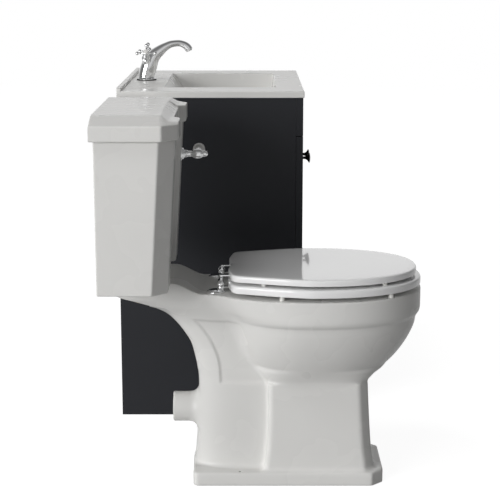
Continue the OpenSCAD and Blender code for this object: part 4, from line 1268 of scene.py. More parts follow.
    def outside(self, at: Places) -> np.ndarray:
        """The outer form of the casting, without its plinth's notches.

        Args:
            at: x, d and z of the places.

        Returns:
            How far each place lies outside, below 0 inside.
        """
        d, z = at[1:]
        form = melt(self.leg(at), self.block(at), self.leg_fillet)
        fall = (1 + np.cos(math.pi * self.ramp(d, self.deck_end, self.deck_fall))) / 2
        top = self.rim + (self.deck_top - self.rim) * fall
        fillet = self.bowl_fillet
        for start, run, more in self.bowl_fillet_grows:
            fillet = fillet + more * self.ramp(z, start, run)
        form = melt(form, self.bowl(at), fillet)
        form = meet(form, z - top, self.rim_round)
        form = melt(form, self.plinth(at), self.plinth_fillet)
        form = melt(form, self.spigot(at), self.spigot_root)
        return np.maximum(form, -z)

    def form(self, at: Places) -> np.ndarray:
        """The whole casting: the outside less the bowl, the water way and the hollow foot.

        Args:
            at: x, d and z of the places.

        Returns:
            How far each place lies outside, below 0 inside.
        """
        x, d, z = at
        mouth = self.oval(x, d, self.mouth_half(z), self.mouth_mid(z), self.mouth_front(z),
                          self.mouth_rear(z), *self.mouth_powers)
        mouth = meet(mouth, self.mouth_low - z, self.mouth_low_round)
        (start_d, start_z), (back, up), length = self.throat, self.throat_run, self.throat_length
        t = np.clip(((start_d - d) * back + (z - start_z) * up) / length, 0, 1)
        throat = np.sqrt(x * x + (d - start_d + t * length * back) ** 2
                         + (z - start_z - t * length * up) ** 2) - self.throat_r
        hollow = np.maximum.reduce([np.abs(x) - self.hollow_half, self.hollow[0] - d,
                                    d - self.hollow[1], z - self.hollow_top])
        bore = np.hypot(x, z - self.spigot_z) - self.spigot_r + self.spigot_wall
        bore = meet(bore, d - self.bore_start, self.bore_round)
        space = np.minimum(melt(mouth, throat, self.throat_fillet), np.minimum(hollow, bore))
        return meet(self.outside(at), -space, self.mouth_round)

    def notch(self, side: int) -> Solid:
        """Makes the cutter for a floor screw's notch, a wedge that deepens outwards.

        Args:
            side: -1 for the left one, 1 for the right one.

        Returns:
            The cutter's points, in metres, and faces.
        """
        back, top = self.notch_back, self.notch_top
        corners = [(side * reach, d, z) for reach, start, low in (self.notch_inner,
                                                                  self.notch_outer)
                   for d, z in ((start, low), (back, low), (back, top), (start, top))]
        return to_frame(np.array(corners), WC_X), [
            (0, 3, 2, 1), (4, 5, 6, 7), (0, 1, 5, 4), (1, 2, 6, 5), (2, 3, 7, 6), (3, 0, 4, 7)]

    def build(self) -> None:
        """Makes the pan and cuts the notches, the screw holes and the nut pockets."""
        points, faces = net_of(self.form, self.mesh_low, self.mesh_high, self.mesh_step)
        pan = rough("pan_casting", to_frame(points, WC_X), faces)
        screw_x, screw_d = self.screw
        lows, highs = zip(self.pocket_d, self.pocket_z)
        cutters = []
        for side in (-1, 1):
            bolt = side * self.bolt_half
            cutters.append(self.notch(side))
            cutters.append(turned(rod(self.screw_r, -8, 30), 24,
                                  (WC_X + side * screw_x, screw_d, 0), UP))
            cutters.append(box_form((bolt - self.pocket_half, *lows),
                                    (bolt + self.pocket_half, *highs), WC_X))
        cut(pan, *join(cutters))
        self.shop.dress(pan, Slot.WARE, Body.ROOT, ["pan", "pan_rim", "pedestal"], smooth=40.0)


# The cistern and the seat


@dataclass
class Cistern(Assembly):
    """The cistern's open box and its lid."""

    low: float = 453.6
    high: float = 770.6
    half: tuple[float, float] = (220.0, 225.0)
    front: tuple[float, float] = (152.5, 170.5)
    back: float = 9.0
    chamfer: float = 31.5
    recess: float = 15.0
    recess_half: float = 107.0
    wall: float = 10.0
    floor: float = 12.0
    edge: float = 3.0
    lever: Point = (155.0, 165.0, 693.6)
    spot_r: float = 18.5
    spot_sink: float = 0.5
    lever_hole: float = 8.5

    def plan(self, z: float, inset: float) -> list[Point]:
        """Draws the body's outline at a height.

        Args:
            z: the height.
            inset: how far the outline is drawn in.

        Returns:
            Its corners, as (x, d, z).
        """
        share = (z - self.low) / (self.high - self.low)
        half = self.half[0] + (self.half[1] - self.half[0]) * share - inset
        front = self.front[0] + (self.front[1] - self.front[0]) * share - inset
        notch, cham = self.recess_half + 0.4 * inset, self.chamfer - 0.6 * inset
        side = [(notch, front - self.recess), (notch + self.recess, front), (half - cham, front),
                (half, front - cham), (half, self.back + inset)]
        return [(x, d, z) for x, d in side] + [(-x, d, z) for x, d in reversed(side)]

    def build(self) -> None:
        """Makes the body from four outlines, rounds its edges and cuts the lever's seat."""
        loops = [self.plan(self.low, 0), self.plan(self.high, 0), self.plan(self.high, self.wall),
                 self.plan(self.low + self.floor, self.wall)]
        count = len(loops[0])
        low_end, high_end = end_faces(4, count)
        body = rough("cistern_body", to_frame(np.array(sum(loops, [])), WC_X),
                     [low_end, *grid_faces(4, count), high_end])
        ease(body, self.edge, segments=4, fine=25.0)
        x, d, z = self.lever
        spot = rod(self.spot_r, -self.spot_sink, 20)
        hole = rod(self.lever_hole, -30, 3)
        for profile, steps in ((spot, 64), (hole, 48)):
            cut(body, *turned(profile, steps, (WC_X + x, d, z), OUT))
        flatten(body)
        self.shop.dress(body, Slot.WARE, Body.ROOT, ["cistern"])


def half_space(u: np.ndarray, v: np.ndarray, start: tuple[float, float],
               end: tuple[float, float]) -> np.ndarray:
    """How far places lie to the outside of a straight line from start to end.

    Args:
        u: the first coordinate of each place.
        v: the second one.
        start: where the line starts; the outside is on its left.
        end: where it ends.

    Returns:
        The distances, below 0 inside.
    """
    run, rise = end[0] - start[0], end[1] - start[1]
    return ((v - start[1]) * run - (u - start[0]) * rise) / math.hypot(run, rise)


@dataclass
class CisternLid(Assembly):
    """The cistern's lid: bevelled sides, a stepped front with a sunk panel, hollow below."""

    half: float = 235.0
    front: float = 178.5
    back: float = 1.0
    chamfer: float = 33.0
    low: float = 770.6
    side_top: float = 802.3
    top: float = 818.7
    bevel_run: float = 51.0
    corner_run: float = 38.0
    flat_front: float = 142.5
    step: tuple[float, float] = (158.0, 808.5)
    ledge_z: float = 806.6
    panel_step: tuple[float, float] = (159.3, 805.0)
    panel_z: float = 803.8
    panel_in: float = 2.0
    panel_lean: float = 0.7
    panel_edge: float = 0.8
    panel_soft: float = 1.5
    step_soft: float = 1.0
    front_edge: float = 2.2
    recess: float = 15.0
    recess_half: float = 107.0
    wall: float = 12.0
    rib_in: float = 22.5
    rib_wide: float = 6.0
    rib_deep: float = 8.0
    rib_sunk: float = 4.0
    rib_corner: float = 6.0
    hollow_corner: float = 10.0
    edge: float = 2.6
    crease: float = 1.6
    mesh_low: Point = (-241.0, -5.0, 757.0)
    mesh_high: Point = (241.0, 185.0, 824.0)
    mesh_step: float = 1.9

    def plan(self, side: np.ndarray, d: np.ndarray, inset: float, chamfer: float) -> np.ndarray:
        """The outline from above, with the recess in its front.

        Args:
            side: distance of each place from the centre line, without its sign.
            d: its distance from the wall.
            inset: how far the outline is drawn in.
            chamfer: how far its front corners are cut off.

        Returns:
            How far each place lies outside, below 0 inside.
        """
        half, front = self.half - inset, self.front - inset
        line = np.maximum.reduce([side - half, d - front, self.back + inset - d])
        line = meet(line, (side + d - half - front + chamfer) * DIAGONAL, self.edge)
        sunk = front - self.recess
        notch = np.maximum(sunk - d, (side - self.recess_half - (d - sunk)) * DIAGONAL)
        return meet(line, -notch, self.edge)

    def form(self, at: Places) -> np.ndarray:
        """The whole lid.

        Args:
            at: x, d and z of the places.

        Returns:
            How far each place lies outside, below 0 inside.
        """
        x, d, z = at
        side = np.abs(x)
        body = self.plan(side, d, 0.0, self.chamfer)
        body = meet(body, half_space(side, z, (self.half - self.bevel_run, self.top),
                                     (self.half, self.side_top)), self.crease)
        corner = (side + d) * DIAGONAL
        reach = (self.half + self.front - self.chamfer) * DIAGONAL
        body = meet(body, half_space(corner, z, (reach - self.corner_run, self.top),
                                     (reach, self.side_top)), self.crease)
        slope = half_space(d, z, (self.flat_front, self.top), self.step)
        ledge = half_space(d, z, self.step, (self.front, self.ledge_z))
        body = meet(body, melt(slope, ledge, self.step_soft), self.front_edge)
        start = (self.flat_front - self.panel_in, self.top)
        panel = melt(half_space(d, z, start, self.panel_step),
                     half_space(d, z, self.panel_step, (self.front, self.panel_z)),
                     self.panel_soft)
        sunk = np.maximum(-panel, side - self.recess_half - self.panel_lean * panel)
        body = meet(body, -sunk, self.panel_edge)
        body = meet(body, z - self.top, self.crease)
        body = meet(body, self.low - z, self.edge)
        rib = np.maximum.reduce([
            self.plan(side, d, self.rib_in, self.chamfer - self.rib_corner),
            self.low - self.rib_deep - z, z - self.low - self.rib_sunk])
        body = np.minimum(body, rib)
        hollow = np.maximum(self.plan(side, d, self.rib_in + self.rib_wide,
                                      self.chamfer - self.hollow_corner),
                            z - self.side_top + self.wall)
        return np.maximum(body, -hollow)

    def build(self) -> None:
        """Makes the lid."""
        points, faces = net_of(self.form, self.mesh_low, self.mesh_high, self.mesh_step)
        self.shop.piece("cistern_lid_moulded", to_frame(points, WC_X), faces, Slot.WARE, Body.LID,
                        ["cistern_lid"], smooth=50.0)


@dataclass
class Seat(Assembly):
    """The seat ring and its lid, cut to outlines that taper towards the hinge."""

    front: float = 691.4
    back: float = 280.0
    widest: float = 450.0
    ring_half: float = 175.5
    ring_low: float = 438.0
    ring_thick: float = 17.0
    lid_half: float = 166.5
    lid_front: float = 681.5
    lid_low: float = 461.0
    lid_thick: float = 14.0
    hole_half: float = 106.0
    hole: tuple[float, float] = (346.0, 616.0)
    corner: float = 30.0
    taper: float = 0.28
    taper_power: float = 1.3
    square: float = 2.2
    hole_square: float = 2.1
    ring_edges: tuple[float, float] = (2.4, 5.0)
    hole_edges: tuple[float, float] = (4.0, 7.0)
    lid_edges: tuple[float, float] = (2.0, 4.2)
    points: int = 192

    def board_line(self, half: float, front: float) -> np.ndarray:
        """Draws half the outline of a board.

        Args:
            half: half the board's greatest width.
            front: where its front tip lies, from the wall.

        Returns:
            Rows of x and d, from the front tip to the middle of the rear edge.
        """
        t = np.radians(np.linspace(0, 90, 70))
        power = 2 / self.square
        tip = np.column_stack((half * np.sin(t) ** power,
                               self.widest + (front - self.widest) * np.cos(t) ** power))
        d = np.linspace(self.widest, self.back + self.corner, 40)[1:]
        share = ((self.widest - d) / (self.widest - self.back)) ** self.taper_power
        side = np.column_stack((half * (1 - self.taper * share), d))
        a = np.radians(np.linspace(0, 90, 14)[1:])
        turn = np.column_stack((side[-1, 0] - self.corner * (1 - np.cos(a)),
                                self.back + self.corner * (1 - np.sin(a))))
        return np.vstack((tip, side, turn, [[0, self.back]]))

    def hole_line(self) -> np.ndarray:
        """Draws half the outline of the ring's hole.

        Returns:
            Rows of x and d, from its front to its rear.
        """
        t = np.radians(np.linspace(0, 180, 120))
        mid, length = sum(self.hole) / 2, (self.hole[1] - self.hole[0]) / 2
        power = 2 / self.hole_square
        c = np.cos(t)
        return np.column_stack((self.hole_half * np.abs(np.sin(t)) ** power,
                                mid + length * np.sign(c) * np.abs(c) ** power))

    def spread(self, half: np.ndarray) -> np.ndarray:
        """Sets an outline's points out at even angles round the middle of the hole.

        Args:
            half: rows of x and d of one half, from front to rear.

        Returns:
            Rows of x and d all round.
        """
        middle = sum(self.hole) / 2
        angle = np.arctan2(half[:, 0], half[:, 1] - middle)
        reach = np.hypot(half[:, 0], half[:, 1] - middle)
        turn = (np.arange(self.points) + 0.5) * 2 * math.pi / self.points
        r = np.interp(np.minimum(turn, 2 * math.pi - turn), angle, reach)
        return np.column_stack((r * np.sin(turn), middle + r * np.cos(turn)))

    @staticmethod
    def inset(line: np.ndarray, by: float) -> np.ndarray:
        """Draws a closed outline in.

        Args:
            line: rows of x and d all round.
            by: how far it is drawn in; a negative distance draws it out.

        Returns:
            The new rows.
        """
        step = np.roll(line, -1, 0) - np.roll(line, 1, 0)
        step /= np.linalg.norm(step, axis=1, keepdims=True)
        return line - by * np.column_stack((-step[:, 1], step[:, 0]))

    def rows(self, line: np.ndarray, low: float, thick: float, edges: tuple[float, float],
             inwards: float = 1.0) -> list[np.ndarray]:
        """Draws the lines that go round the rounded edge of a board.

        Args:
            line: the board's outline, as rows of x and d.
            low: the height of its underside.
            thick: its thickness.
            edges: how far its lower and its upper edge are rounded.
            inwards: 1 at an outer edge, and -1 at the edge of a hole.

        Returns:
            The points of each line, from the underside to the top.
        """
        under, over = edges
        turn = np.radians(np.linspace(0, 90, 6))
        levels = [(under * (1 - math.sin(a)), low + under * (1 - math.cos(a))) for a in turn]
        levels += [(over * (1 - math.cos(a)), low + thick - over * (1 - math.sin(a)))
                   for a in turn]
        return [np.column_stack((self.inset(line, inwards * by), np.full(self.points, z)))
                for by, z in levels]

    def ring(self) -> Solid:
        """Makes the ring.

        Returns:
            Its points, in metres, and faces.
        """
        outer = self.spread(self.board_line(self.ring_half, self.front))
        hole = self.spread(self.hole_line())
        loops = self.rows(outer, self.ring_low, self.ring_thick, self.ring_edges)
        loops += reversed(self.rows(hole, self.ring_low, self.ring_thick, self.hole_edges, -1.0))
        return to_frame(np.vstack(loops), WC_X), tube_faces(len(loops), self.points)

    def lid(self) -> Solid:
        """Makes the lid, with a slightly raised middle.

        Returns:
            Its points, in metres, and faces.
        """
        line = self.spread(self.board_line(self.lid_half, self.lid_front))
        loops = self.rows(line, self.lid_low, self.lid_thick, self.lid_edges)
        top = loops[-1].copy()
        middle = np.array([0, sum(self.hole) / 2])
        for share, rise in ((0.93, 0.25), (0.75, 0.6), (0.45, 0.8), (0.2, 0.85)):
            inner = top.copy()
            inner[:, :2] = middle + (top[:, :2] - middle) * share
            inner[:, 2] += rise
            loops.append(inner)
        faces = grid_faces(len(loops), self.points) + end_faces(len(loops), self.points)
        return to_frame(np.vstack(loops), WC_X), faces

    def build(self) -> None:
        """Makes the ring and the lid."""
        self.shop.piece("seat_ring_board", *self.ring(), Slot.SEAT, Body.RING, ["seat_ring"])
        self.shop.piece("seat_lid_board", *self.lid(), Slot.SEAT, Body.SEAT_LID, ["seat_lid"])


# Plated fittings


@dataclass
class SeatHinge(Assembly):
    """Domed pillars and the rod between their balls."""

    place: tuple[float, float] = (72.0, 248.0)
    rim: float = 429.0
    axis_d: float = 257.5
    axis_z: float = 446.0
    ball_r: float = 7.6
    rod_half: float = 81.5

    def build(self) -> None:
        """Turns the pillars and the rod."""
        parts = []
        dome = rounded([(0, 0), (20, 0), (20, 1.6), (14.5, 4.6), (7.5, 6.2), (0, 6.6)], 4.0, 4)
        neck = rounded([(0, 2), (8.4, 5.0), (5.2, 8.2), (4.8, 12.0), (0, 12.5)], 2.0)
        ball = [(self.ball_r * math.sin(t), -self.ball_r * math.cos(t))
                for t in np.linspace(0, math.pi, 25)]
        base_x, base_d = self.place
        for side in (-1, 1):
            for profile, place in ((dome, (base_d, self.rim)), (neck, (self.axis_d, self.rim)),
                                   (ball, (self.axis_d, self.axis_z))):
                parts.append(turned(profile, 56, (WC_X + side * base_x, *place), UP))
        self.shop.piece("hinge_pillars_turned", *join(parts), Slot.CHROME, Body.ROOT,
                        ["hinge_pillars"])
        end = self.rod_half
        profile = rounded([(0, -end), (3.4, -end), (3.5, -12.5), (6.5, -11), (6.5, 11),
                           (3.5, 12.5), (3.4, end), (0, end)], 1.6)
        self.shop.piece("hinge_rod_turned",
                        *turned(profile, 40, (WC_X, self.axis_d, self.axis_z), RIGHT), Slot.CHROME,
                        Body.ROOT, ["hinge_rod"])


@dataclass
class Lever(Assembly):
    """The flush lever: stepped rosette, hub, arm and a glazed ball."""

    x: float = 155.0
    z: float = 693.6
    spot: float = 165.0
    hub_d: float = 203.0
    plate_gap: float = 11.3
    spindle_end: float = 115.0
    arm: float = 78.0
    grip: float = 14.5
    grip_mouth: float = 0.42

    def rosette(self) -> Solid:
        """Turns the rosette and the sleeve that goes through the cistern's wall.

        Returns:
            The points, in metres, and faces.
        """
        plate = rounded([(0, -0.4), (17.5, -0.4), (17.5, 2.2), (14.6, 3.6), (13.6, 6.2),
                         (10.0, 8.4), (9.2, 11.0), (0, 11.0)], 1.6, 4)
        place = (WC_X + self.x, self.spot, self.z)
        return join([turned(plate, 64, place, OUT), turned(rod(8, -26, 0.5), 48, place, OUT)])

    def handle(self, place: Point) -> Solid:
        """Turns the hub with its knob, the spindle behind it and the arm.

        Args:
            place: the middle of the hub.

        Returns:
            The points, in metres, and faces.
        """
        start = self.spot + self.plate_gap - self.hub_d
        hub = rounded([(0, start), (8.6, start), (8.6, start + 3), (6.8, start + 6), (6.8, -12.5),
                       (9.4, -10.5), (11.6, -5.5), (11.9, 0), (11.6, 5.5), (9.6, 9.6), (7.0, 11.6),
                       (7.6, 14.6), (6.6, 19.6), (3.4, 22.6), (0, 23.2)], 3.0, 4)
        spindle = rod(5, -self.spindle_end, start + 1)
        arm = rounded([(0, 6), (6.6, 6), (6.6, 13.5), (4.8, 16.5), (4.0, 30), (3.9, 44), (4.4, 55),
                       (6.4, 58.5), (6.4, 62.0), (5.2, 63.6), (3.0, 64.4), (3.0, 66.8), (0, 66.8)],
                      2.5)
        return join([turned(hub, 64, place, OUT), turned(spindle, 40, place, OUT),
                     turned(arm, 48, place, RIGHT)])

    def build(self) -> None:
        """Makes the rosette, the lever and its ball."""
        self.shop.piece("lever_rosette_turned", *self.rosette(), Slot.CHROME, Body.ROOT,
                        ["lever_rosette"])
        x, d, z = WC_X + self.x, self.hub_d, self.z
        self.shop.piece("flush_lever_turned", *self.handle((x, d, z)), Slot.CHROME, Body.LEVER,
                        ["flush_lever"])
        r, mouth = self.grip, self.grip_mouth
        ball = [(r * math.sin(t), -r * math.cos(t)) for t in np.linspace(mouth, math.pi, 40)]
        profile = [(0, -r * math.cos(mouth)), *ball[:-1], (0, r)]
        self.shop.piece("lever_grip_ball", *turned(profile, 72, (x + self.arm, d, z), RIGHT), Slot.GRIP,
                        Body.LEVER, ["lever_grip"])


@dataclass
class Tap(Assembly):
    """The basin tap: an arched body with two side arms, cross handles and their bonnets."""

    d: float = 50.5
    handle_d: float = 53.5
    top: float = 813.0
    ring: float = 2.5
    handle_z: float = 885.0
    handle_x: float = 42.0
    tilt: float = 35.0
    mouth: tuple[float, float] = (111.2, 76.0)
    mouth_tilt: float = -70.0
    wide: float = 1.08
    spoke_ball: float = 4.8
    spoke: float = 23.0
    sides: int = 56

    def section_rows(self) -> np.ndarray:
        """Sets out the sections of the body, from its foot to the spout's mouth.

        Returns:
            Forward place, height, radius and direction of each.
        """
        rows = np.array([
            (0, 0, 23.6, 90), (0, 1.6, 23.8, 90), (0, 3.5, 22.4, 90), (0.2, 8, 21.2, 89),
            (3, 22, 21.5, 84), (8, 37.5, 20.8, 73), (14.1, 51.1, 18.8, 62), (24, 64.5, 16.3, 50),
            (36.5, 74.7, 13.8, 41), (52.5, 85.2, 10.2, 29), (68, 91.4, 8.8, 14), (84, 93, 8.2, -3),
            (98.5, 89.3, 9.0, -28), (107.6, 82.6, 9.8, -52), (110.9, 77.4, 9.9, -69),
            (111.2, 76, 9.4, -70)])
        run = np.concatenate(([0], np.cumsum(np.hypot(*np.diff(rows[:, :2], axis=0).T))))
        fine = np.linspace(0, run[-1], 120)
        fine = np.unique(np.concatenate((fine, run)))
        return np.column_stack([eased(run, rows[:, k])(fine) for k in range(4)])

    def arch(self) -> Solid:
        """Lofts the body and its spout.

        Returns:
            The points, in metres, and faces.
        """
        rows = self.section_rows()
        turn = np.arange(self.sides) * 2 * math.pi / self.sides
        points = []
        for forward, height, radius, angle in rows:
            lean = math.radians(angle)
            up = radius * np.sin(turn)
            points.append(np.column_stack((
                radius * self.wide * np.cos(turn), self.d + forward - up * math.sin(lean),
                self.top + self.ring + height + up * math.cos(lean))))
        faces = grid_faces(len(rows), self.sides) + end_faces(len(rows), self.sides)
        return to_frame(np.vstack(points), VAN_X), [f[::-1] for f in faces]

    def build(self) -> None:
        """Makes the body, the nozzle, the bonnets and the handles."""
        foot = self.top + self.ring
        parts = [self.arch(), turned(rod(17, -16, 2), 48, (VAN_X, self.d, foot), UP)]
        arm = rounded([(0, -46), (14.5, -46), (12.6, -34), (11.2, -26), (12.6, -24.5),
                       (12.6, -21.5), (11.4, -20), (0, -20)], 1.8)
        bonnet = rounded([(0, -20), (10, -20), (10.6, -17), (9.4, -14.5), (8.2, -12.5), (8.4, -8),
                          (7.2, -7), (0, -7)], 1.2)
        bonnets = []
        for side in (-1, 1):
            lean = math.radians(self.tilt)
            axis = (side * math.cos(lean), 0, math.sin(lean))
            place = (VAN_X + side * self.handle_x, self.handle_d, self.handle_z)
            parts.append(turned(arm, 56, place, axis))
            bonnets.append(turned(bonnet, 48, place, axis))
            self.handle(side, place, axis)
        self.shop.piece("tap_body_cast", *join(parts), Slot.CHROME, Body.ROOT, ["tap_body"],
                        smooth=50.0)
        self.shop.piece("tap_bonnets_turned", *join(bonnets), Slot.CHROME, Body.ROOT, ["tap_bonnets"])
        nozzle = rounded([(0, -1), (8.2, -1), (8.2, 2.6), (7.2, 3.4), (6.2, 3.4), (6.2, 1.2),
                          (0, 1.2)], 0.6, 2)
        forward, height = self.mouth
        lean = math.radians(self.mouth_tilt)
        self.shop.piece("tap_nozzle_turned",
                        *turned(nozzle, 48, (VAN_X, self.d + forward, foot + height),
                                (0, -math.cos(lean), math.sin(lean))), Slot.CHROME, Body.ROOT,
                        ["tap_nozzle"])

    def handle(self, side: int, place: Point, axis: Point) -> None:
        """Makes one cross handle: hub, four ball-ended spokes and a pale cap.

        Args:
            side: -1 for the left handle, 1 for the right one.
            place: the handle's centre.
            axis: the direction that it turns about.
        """
        body = Body.HANDLE_LEFT if side < 0 else Body.HANDLE_RIGHT
        name = "left" if side < 0 else "right"
        hub = rounded([(0, -6.4), (7.0, -6.4), (7.4, -4.2), (6.4, -2.6), (6.2, 2.4), (7.6, 4.4),
                       (7.8, 6.4), (6.8, 8.2), (6.0, 8.6), (0, 8.6)], 1.0, 3)
        parts = [lathe(hub, 56)]
        r = self.spoke_ball
        ball = [(r * math.sin(t), self.spoke - r * math.cos(t))
                for t in np.linspace(0.5, math.pi - 0.3, 14)]
        tip = self.spoke + r
        spoke = [(0, 4.5), (3.6, 5.0), (2.9, 8.6), (1.9, 12.6), (1.8, 16.4), (2.6, 17.6), *ball,
                 (0.9, tip - 0.05), (0, tip)]
        points, faces = lathe(spoke, 32)
        for quarter in range(4):
            turn = np.array(Matrix.Rotation(math.radians(90 * quarter), 3, "Z")
                            @ Matrix.Rotation(math.radians(90), 3, "Y"))
            parts.append((points @ turn.T, faces))
        parts = [(along(p, place, axis), f) for p, f in parts]
        self.shop.piece(f"tap_handle_{name}_cast", *join(parts), Slot.CHROME, body,
                        [f"tap_handle_{name}"])
        cap = rounded([(0, 8.3), (6.6, 8.3), (6.6, 9.1), (5.0, 10.4), (0, 11.2)], 1.2)
        self.shop.piece(f"tap_cap_{name}", *turned(cap, 40, place, axis), Slot.GRIP, body)


# The vanity


@dataclass
class Basin(Assembly):
    """The basin: a thin slab with an upstand and a bowl with flat sloping sides."""

    half: float = 310.5
    depth: float = 451.5
    low: float = 797.0
    top: float = 813.0
    upstand: float = 11.0
    upstand_rise: float = 8.0
    bowl_half: float = 206.5
    bowl: tuple[float, float] = (109.0, 385.0)
    bowl_deep: float = 105.0
    side_in: float = 32.0
    back_in: float = 82.0
    front_in: float = 14.0
    wall: float = 8.0
    waste: tuple[float, float] = (281.0, 22.5)
    tap: tuple[float, float] = (50.5, 17.5)
    soft: float = 2.4
    underside_r: float = 12.0
    arc: int = 6
    across: int = 9

    def loop(self, half: float, back: float, front: float, radius: float, z: float) -> np.ndarray:
        """Draws a rounded rectangle with the same number of points whatever its size.

        Args:
            half: half its width.
            back: where it starts, from the wall.
            front: where it ends, from the wall.
            radius: the radius of its corners.
            z: its height.

        Returns:
            Its points, as rows of x, d and z.
        """
        corners = ((half, back, -90.0), (half, front, 0.0), (-half, front, 90.0),
                   (-half, back, 180.0))
        points = []
        for k, (x, d, start) in enumerate(corners):
            mid_x = x - math.copysign(radius, x)
            mid_d = d + radius if d == back else d - radius
            turn = np.radians(start + np.linspace(0, 90, self.arc))
            points += [(mid_x + radius * math.cos(a), mid_d + radius * math.sin(a), z) for a in turn]
            after_x, after_d, _ = corners[(k + 1) % 4]
            first = np.array(points[-1][:2])
            aim_x = after_x - math.copysign(radius, after_x)
            aim_d = after_d + radius if after_d == back else after_d - radius
            end = math.radians(start + 90.0)
            last = np.array([aim_x + radius * math.cos(end), aim_d + radius * math.sin(end)])
            for share in np.linspace(0, 1, self.across)[1:-1]:
                points.append((*(first + (last - first) * share), z))
        return np.array(points)

    def bowl_loop(self, share: float, out: float, radius: float, rise: float = 0.0) -> np.ndarray:
        """Draws the bowl's outline at a share of its depth.

        Args:
            share: the share of the depth, from 0 at the top to 1 at the floor.
            out: how far it is drawn out.
            radius: the radius of its corners.
            rise: how far it is lifted.

        Returns:
            Its points, as rows of x, d and z.
        """
        return self.loop(self.bowl_half - share * self.side_in + out,
                         self.bowl[0] + share * self.back_in - out,
                         self.bowl[1] - share * self.front_in + out, radius,
                         self.top - share * self.bowl_deep + rise)

    def waste_loop(self, half: float, radius: float, z: float) -> np.ndarray:
        """Draws a rounded square round the waste."""
        waste = self.waste[0]
        return self.loop(half, waste - half, waste + half, radius, z)

    def slab_loops(self) -> list[np.ndarray]:
        """Draws the loops of the slab: up its edge, down the bowl, out below and back.

        Returns:
            The points of each loop.
        """
        bevel = 0.8
        loops = [self.loop(self.half - bevel, 0.0, self.depth - bevel, 1.2, self.low),
                 self.loop(self.half, 0.0, self.depth, 2.0, self.low + bevel)]
        loops += [self.loop(self.half - self.soft + a, 0.0, self.depth - self.soft + a, self.soft,
                            self.top + rise)
                  for a, rise in ((2.4, -2.4), (1.6, -0.7), (0.7, -0.2), (0.0, 0.0))]
        loops += [self.bowl_loop(0, out, radius, -self.bowl_deep * drop)
                  for drop, out, radius in ((0.0, 1.4, 4.0), (0.007, 0.3, 3.2), (0.02, -0.1, 3.0))]
        loops += [self.bowl_loop(share, 0.0, 3.0) for share in (0.05, 0.3, 0.6, 0.9, 0.955)]
        loops += [self.bowl_loop(0.985, -2.0, 4.0), self.bowl_loop(1.0, -6.5, 6.0)]
        floor = self.top - self.bowl_deep
        loops += [self.waste_loop(60.0, 20.0, floor - 0.6), self.waste_loop(24.0, 16.0, floor - 1.0),
                  self.waste_loop(24.0, 16.0, floor - self.wall)]
        loops += [self.bowl_loop(1.0, self.wall - 6.0, 10.0, -self.wall),
                  self.bowl_loop(0.95, self.wall, self.underside_r, -self.wall + 2.0),
                  self.bowl_loop(0.2, self.wall, self.underside_r)]
        outer = self.bowl_loop(0.2, self.wall + 0.5, self.underside_r)
        outer[:, 2] = self.low
        return [*loops, outer]

    def make_slab(self) -> None:
        """Makes the slab with its bowl and cuts the two holes."""
        loops = self.slab_loops()
        slab = rough("basin_cast", to_frame(np.vstack(loops), VAN_X),
                     tube_faces(len(loops), len(loops[0])))
        face_out(slab.data)
        floor = self.top - self.bowl_deep
        cut(slab, *join([turned(rod(radius, *span), 64, (VAN_X, d, floor), UP)
                         for (d, radius), span in ((self.waste, (-40.0, 40.0)),
                                                   (self.tap, (60.0, 140.0)))]))
        flatten(slab)
        self.shop.dress(slab, Slot.WARE, Body.ROOT, ["basin"])

    def make_upstand(self) -> None:
        """Makes the upstand."""
        rise = self.upstand_rise
        rows = [self.loop(self.half - a, 0.0, self.upstand - a, 1.9, self.top + z)
                for a, z in ((0, -1.0), (0, rise - 2.4), (0.7, rise - 0.7), (2.4, rise))]
        count = len(rows[0])
        faces = grid_faces(len(rows), count) + end_faces(len(rows), count)
        back = self.shop.piece("basin_upstand", to_frame(np.vstack(rows), VAN_X), faces, Slot.WARE,
                               Body.ROOT)
        face_out(back.data)
        flatten(back)

    def build(self) -> None:
        """Makes the slab and its upstand."""
        self.make_slab()
        self.make_upstand()


@dataclass
class Vanity(Assembly):
    """The cabinet's boards and its knobs."""

    knob_d: float = 449.0
    knob_z: float = 613.0
    knob_x: float = 33.0
    board_edge: float = 0.7
    door_edge: float = 0.9
    boards: tuple[str, ...] = ("side_panel_left", "side_panel_right", "fascia", "base_panel",
                               "back_rail", "lower_rail", "kickboard", "shelf")

    def build(self) -> None:
        """Eases the edges of the boards and turns the knobs."""
        for board in self.boards:
            self.shop.eased_copy(board, self.board_edge, Slot.PAINT, Body.ROOT)
        profile = rounded([(0, 0), (8, 0), (8, 1.5), (5, 4), (3.7, 8), (3.5, 12.5), (4.2, 18),
                           (6.9, 22), (12.5, 25.4), (13.5, 26.6), (12.8, 27.8), (8.1, 29.3),
                           (0, 30)], 1.6, 4)
        for side, name, body in ((-1, "left", Body.DOOR_LEFT), (1, "right", Body.DOOR_RIGHT)):
            self.shop.eased_copy(f"door_{name}", self.door_edge, Slot.PAINT, body, framed=True)
            place = (VAN_X + side * self.knob_x, self.knob_d, self.knob_z)
            self.shop.piece(f"knob_{name}_turned", *turned(profile, 64, place, OUT), Slot.KNOB, body,
                            [f"knob_{name}"])


# The stage


